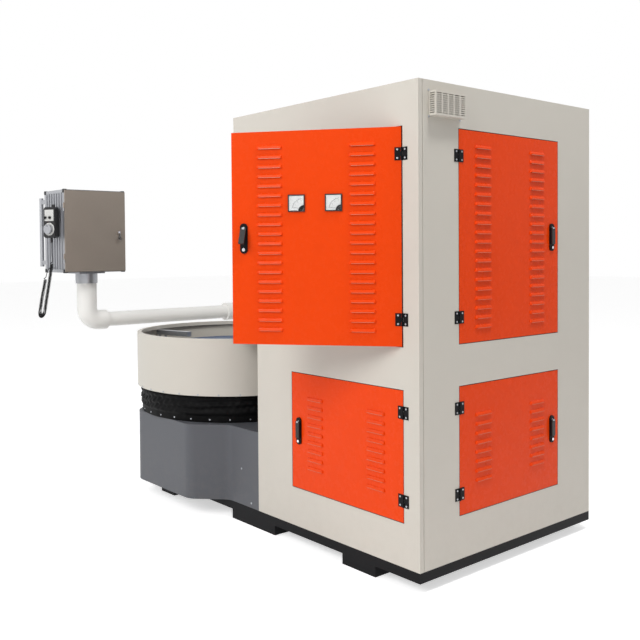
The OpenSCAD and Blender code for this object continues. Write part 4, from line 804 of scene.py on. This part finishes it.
class GRINDER_OT_control_box(Finished, bpy.types.Operator):
    """Corner caps, lock with its keys, screen and key field of the control box"""
    bl_idname = "grinder.control_box"
    bl_label = "Control box fittings"

    def execute(self, context):
        low, high = BOX_LOW, BOX_HIGH
        caps = bmesh.new()
        out, arm = 0.0035, 0.024
        for z0, z1 in ((low.z - out, low.z + arm), (high.z - arm, high.z + out)):
            for y0, y1 in ((low.y - out, low.y + arm), (high.y - arm, high.y + out)):
                for x0, x1 in ((low.x - 0.004, low.x + arm), (high.x - arm, high.x)):
                    add_block(caps, (x0, y0, z0), (x1, y1, z1), bevel=0.004)
        from_bmesh("box_corner_caps", caps, "black_plastic", "box", True)
        lock = bmesh.new()
        at = outward(high.x + 0.023, high.y - 0.055, low.z + 0.290, (1, 0, 0))
        add_disc(lock, 0.0095, 0.004, at, 28, 0.001)
        add_block(lock, (-0.001, -0.006, 0.003), (0.001, 0.006, 0.016), at)
        for angle, drop in ((8.0, 0.030), (-14.0, 0.026)):
            hang = Matrix.Translation(at.translation + Vector((0.012, 0, -0.010)))
            hang = hang @ Matrix.Rotation(math.radians(angle), 4, "X")
            add_block(lock, (-0.001, -0.004, -drop), (0.001, 0.004, 0.0), hang, 0.0005)
            bow = hang @ Matrix.Translation((-0.001, 0, -drop - 0.009)) @ Matrix.Rotation(math.pi / 2, 4, "Y")
            add_ring(lock, 0.011, 0.004, 0.002, bow, 20)
        from_bmesh("box_lock_keys", lock, "chrome", "box_door")
        mid = (low.y + high.y) / 2
        screen, glass_x, half = bmesh.new(), low.x - 0.0065, 0.118
        add_block(screen, (glass_x - 0.001, mid - half, low.z + 0.345),
                  (glass_x + 0.002, mid + half, low.z + 0.515))
        from_bmesh("panel_screen", screen, "screen", "box")
        keys, key_half = bmesh.new(), 0.011
        for row in range(3):
            for column in range(8):
                y, z = mid - 0.105 + 0.03 * column, low.z + 0.190 + 0.034 * row
                add_block(keys, (low.x - 0.0055, y - key_half, z - key_half),
                          (low.x - 0.0025, y + key_half, z + key_half), bevel=0.0012)
        from_bmesh("panel_keys", keys, "black_plastic", "box")
        return {"FINISHED"}


class GRINDER_OT_pendant(Finished, bpy.types.Operator):
    """Plate, scale ring, marks and numbers of the handwheel pendant"""
    bl_idname = "grinder.pendant"
    bl_label = "Handwheel pendant"

    def execute(self, context):
        turn = Matrix.Translation(PENDANT_AT) @ Matrix.Rotation(PENDANT_TURN, 4, "Z")
        face = turn @ Matrix.Translation((0, -0.048, 0)) @ Matrix.Rotation(math.pi / 2, 4, "X")
        plate_t, ink_t = 0.0008, 0.0010
        plates, marks = bmesh.new(), bmesh.new()
        add_block(plates, (-0.040, 0.120, 0.0), (0.040, 0.200, plate_t), face, 0.0003)
        for x in (-0.030, 0.010):
            for i in range(5):
                spot = face @ Matrix.Translation((x, 0.144, plate_t))
                spot = spot @ Matrix.Rotation(math.radians(30 + 30 * i), 4, "Z")
                add_block(marks, (0.0115, -0.0005, 0.0), (0.0150, 0.0005, 0.0003), spot)
        ring = face @ Matrix.Translation((0, 0.062, 0.0))
        add_ring(plates, 0.0455, 0.0335, plate_t, ring, 72)
        ticks, numbers, number_r = 50, 10, 0.0425
        for i in range(ticks):
            tick = ring @ Matrix.Rotation(2 * math.pi * i / ticks, 4, "Z")
            long = 0.0045 if i % 5 == 0 else 0.0025
            add_block(marks, (0.0350, -0.00025, plate_t), (0.0350 + long, 0.00025, ink_t), tick)
        labels = []
        for i in range(numbers):
            a = math.radians(90 - 36 * i)
            spot = ring @ Matrix.Translation((number_r * math.cos(a), number_r * math.sin(a), plate_t))
            labels.append((str(10 * i), spot, 0.0042))
        write_labels(marks, labels)
        from_bmesh("pendant_plates", plates, "white_plate", "box")
        from_bmesh("pendant_marks", marks, "dark_print", "box")
        return {"FINISHED"}


# Route of the pendant's cord, the same as the solid's, in millimetres
CORD_ROUTE = [(-945.9, -935.3, 1712), (-945.9, -935.3, 1690), (-945.9, -935.3, 1640), (-946, -936, 1580),
              (-948, -946, 1500), (-951, -960, 1410), (-954, -977, 1310), (-956, -991, 1226),
              (-968, -997, 1198), (-996, -1001, 1186), (-1024, -997, 1198), (-1036, -991, 1226), (-1038, -976, 1310),
              (-1040, -958, 1390), (-1038, -943, 1470), (-1026, -932, 1515), (-1010, -925, 1529),
              (-1010, -912, 1529), (-1010, -897.5, 1529)]
CURL_PITCH, CURL_R, CURL_START, CURL_END, CORD_R = 8.75, 10.2, 130.0, 100.0, 2.5
# Points to one turn of the coil and to one span of the route, and the step of the straight leads
CURL_POINTS, ROUTE_FINE, LEAD_STEP = 16, 12, 5.0
# Lengths over which the coil winds up and the straight lead moves out to the coil's radius
EASE, LEAD_OUT = 30.0, 60.0


def curl_turns(at, length):
    """Turns wound at a place in the coil. The first and last wind up slowly, so no bend is tight."""
    def eased(d):
        return d ** 3 / (3 * EASE ** 2) if d < EASE else d - 2 * EASE / 3
    at = min(max(at, 0.0), length)
    return (eased(at) if at < length / 2 else length - 4 * EASE / 3 - eased(length - at)) / CURL_PITCH


def smooth(k):
    """Rises from 0 to 1 without a kink."""
    k = min(max(k, 0.0), 1.0)
    return k * k * (3 - 2 * k)


def route_at(s):
    """A place on the spline through the route, s counted in its points."""
    n = len(CORD_ROUTE) - 1
    i = min(int(math.floor(s)), n - 1)
    t = s - i
    a, b, c, d = (Vector(CORD_ROUTE[k]) for k in (max(i - 1, 0), i, i + 1, min(i + 2, n)))
    return (2 * b + (c - a) * t + (2 * a - 5 * b + 4 * c - d) * t ** 2 + (3 * b - a - 3 * c + d) * t ** 3) / 2


def ways_along(points):
    """Direction of a line at each of its points."""
    last = len(points) - 1
    return [(points[min(i + 1, last)] - points[max(i - 1, 0)]).normalized() for i in range(last + 1)]


def cord_line():
    """Centre line of the curly cord, in metres, on the same coil as the solid but with more points."""
    fine = [route_at(i / ROUTE_FINE) for i in range((len(CORD_ROUTE) - 1) * ROUTE_FINE + 1)]
    table = [0.0]
    for a, b in zip(fine, fine[1:]):
        table.append(table[-1] + (b - a).length)
    total = table[-1]

    def on_route(at):
        lo, hi = 0, len(table) - 1
        while hi - lo > 1:
            k = (lo + hi) // 2
            lo, hi = (k, hi) if table[k] <= at else (lo, k)
        share = (at - table[lo]) / (table[hi] - table[lo])
        return route_at((lo + share) / ROUTE_FINE)
    length = total - CURL_START - CURL_END
    steps = round(CURL_POINTS * length / CURL_PITCH)
    places = [i * LEAD_STEP for i in range(int(CURL_START / LEAD_STEP))]
    places += [CURL_START + i * length / steps for i in range(steps + 1)]
    places += [total - i * LEAD_STEP for i in range(int(CURL_END / LEAD_STEP) - 1, -1, -1)]
    mids = [on_route(at) for at in places]
    side = Vector((1, 0, 0))
    points = []
    for at, mid, way in zip(places, mids, ways_along(mids)):
        side = (side - way * side.dot(way)).normalized()
        share = smooth((at - CURL_START) / LEAD_OUT + 1) * smooth((total - CURL_END - at) / LEAD_OUT + 1)
        a = 2 * math.pi * curl_turns(at - CURL_START, length)
        points.append((mid + CURL_R * share * (math.cos(a) * side + math.sin(a) * way.cross(side))) * MM)
    return points


class GRINDER_OT_cord(Finished, bpy.types.Operator):
    """Curly cord of the handwheel pendant"""
    bl_idname = "grinder.cord"
    bl_label = "Curly cord"

    def execute(self, context):
        points = cord_line()
        bm = bmesh.new()
        side, rings, sides = Vector((1, 0, 0)), [], 10
        for point, way in zip(points, ways_along(points)):
            side = (side - way * side.dot(way)).normalized()
            other = way.cross(side)
            ring = []
            for k in range(sides):
                a = 2 * math.pi * k / sides
                ring.append(bm.verts.new(point + CORD_R * MM * (math.cos(a) * side + math.sin(a) * other)))
            rings.append(ring)
        for a, b in zip(rings, rings[1:]):
            for k in range(sides):
                bm.faces.new((a[k], a[(k + 1) % sides], b[(k + 1) % sides], b[k]))
        bm.faces.new(rings[0][::-1])
        bm.faces.new(rings[-1])
        piece = from_bmesh("pendant_cord", bm, "black_rubber", "box", smooth=True)
        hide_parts("curly_cord")
        return {"FINISHED"}


class GRINDER_OT_stage(Finished, bpy.types.Operator):
    """Pale floor, soft lights and the camera"""
    bl_idname = "grinder.stage"
    bl_label = "Stage and camera"

    def execute(self, context):
        scene = context.scene
        scene.view_settings.view_transform = "Standard"
        place_camera(scene)
        make_floor(scene)
        make_lights(scene)
        return {"FINISHED"}


def place_camera(scene):
    """The camera as it was fitted to the photograph."""
    yaw, pitch, roll = (math.radians(v) for v in CAMERA_TURN)
    level = Vector((-math.sin(yaw), math.cos(yaw), 0))
    look = level * math.cos(pitch) + Vector((0, 0, math.sin(pitch)))
    right0 = look.cross(Vector((0, 0, 1))).normalized()
    up0 = right0.cross(look)
    right = right0 * math.cos(roll) + up0 * math.sin(roll)
    up = up0 * math.cos(roll) - right0 * math.sin(roll)
    data = bpy.data.cameras.new("camera")
    data.sensor_width = SENSOR
    data.lens = FOCAL_PIXELS / PHOTO_SIDE * SENSOR
    data.shift_x = (PHOTO_SIDE / 2 - CENTRE_X) / PHOTO_SIDE
    data.shift_y = (CENTRE_Y - PHOTO_SIDE / 2) / PHOTO_SIDE
    data.clip_end = 200.0
    camera = bpy.data.objects.new("camera", data)
    scene.collection.objects.link(camera)
    turn = Matrix((right, up, -look)).transposed().to_4x4()
    camera.matrix_world = Matrix.Translation(CAMERA_AT) @ turn
    scene.camera = camera


def seen_or_mirrored(tree):
    """1 for what the camera or a reflection sees, and 0 for what lights the scene."""
    path = tree.nodes.new("ShaderNodeLightPath").outputs
    return math_node(tree, "MAXIMUM", path["Is Camera Ray"], path["Is Glossy Ray"])


def make_floor(scene):
    """A white floor that takes a faint shadow."""
    bm = bmesh.new()
    bmesh.ops.create_grid(bm, x_segments=8, y_segments=8, size=40.0)
    mesh = bpy.data.meshes.new("floor")
    bm.to_mesh(mesh)
    bm.free()
    material = bpy.data.materials.new("floor")
    material.use_nodes = True
    tree = material.node_tree
    shader = tree.nodes["Principled BSDF"].inputs
    shader["Base Color"].default_value = (0.93, 0.93, 0.93, 1)
    shader["Roughness"].default_value = 0.9
    shader["Specular IOR Level"].default_value = 0.1
    shader["Emission Color"].default_value = WHITE
    link(tree, multiply(tree, seen_or_mirrored(tree), 0.56), shader["Emission Strength"])
    mesh.materials.append(material)
    floor = bpy.data.objects.new("floor", mesh)
    scene.collection.objects.link(floor)


def make_lights(scene):
    """A white room that lights less than it shows, and three lamps."""
    world = bpy.data.worlds.new("studio")
    scene.world = world
    world.use_nodes = True
    tree = world.node_tree
    back, seen = tree.nodes["Background"], tree.nodes.new("ShaderNodeBackground")
    for node, strength in ((back, 0.41), (seen, 1.0)):
        node.inputs["Color"].default_value = WHITE
        node.inputs["Strength"].default_value = strength
    mix = tree.nodes.new("ShaderNodeMixShader")
    link(tree, seen_or_mirrored(tree), mix.inputs[0])
    link(tree, back.outputs[0], mix.inputs[1])
    link(tree, seen.outputs[0], mix.inputs[2])
    link(tree, mix.outputs[0], tree.nodes["World Output"].inputs["Surface"])
    for name, at, aim, size, power in LAMPS:
        data = bpy.data.lights.new(name, "AREA")
        data.shape = "DISK"
        data.size = size
        data.energy = power
        lamp = bpy.data.objects.new(name, data)
        way = Vector(aim) - Vector(at)
        lamp.matrix_world = Matrix.Translation(at) @ way.to_track_quat("-Z", "Y").to_matrix().to_4x4()
        scene.collection.objects.link(lamp)


OPERATORS = (GRINDER_OT_solids, GRINDER_OT_stage, GRINDER_OT_cord, GRINDER_OT_skirt, GRINDER_OT_gap_shade,
             GRINDER_OT_hinge_screws, GRINDER_OT_louvres, GRINDER_OT_latches, GRINDER_OT_meters,
             GRINDER_OT_cover_screws, GRINDER_OT_control_box, GRINDER_OT_pendant)


class GRINDER_PT_panel(bpy.types.Panel):
    """Lists the grinder's operators, colours and sizes"""
    bl_idname = "GRINDER_PT_panel"
    bl_label = "Rotary grinder"
    bl_space_type = "VIEW_3D"
    bl_region_type = "UI"
    bl_category = "Grinder"

    def draw(self, context):
        for operator in OPERATORS:
            self.layout.operator(operator.bl_idname)
        for settings in (context.scene.grinder_colours, context.scene.grinder_sizes):
            box = self.layout.box()
            for name in settings.__annotations__:
                box.prop(settings, name)


CLASSES = (GrinderColours, GrinderSizes) + OPERATORS + (GRINDER_PT_panel,)


def register():
    for item in CLASSES:
        bpy.utils.register_class(item)
    bpy.types.Scene.grinder_colours = bpy.props.PointerProperty(type=GrinderColours)
    bpy.types.Scene.grinder_sizes = bpy.props.PointerProperty(type=GrinderSizes)


def unregister():
    del bpy.types.Scene.grinder_colours
    del bpy.types.Scene.grinder_sizes
    for item in reversed(CLASSES):
        bpy.utils.unregister_class(item)


def main():
    register()
    for operator in OPERATORS:
        group_name, call = operator.bl_idname.split(".")
        getattr(getattr(bpy.ops, group_name), call)()


if __name__ == "__main__":
    main()
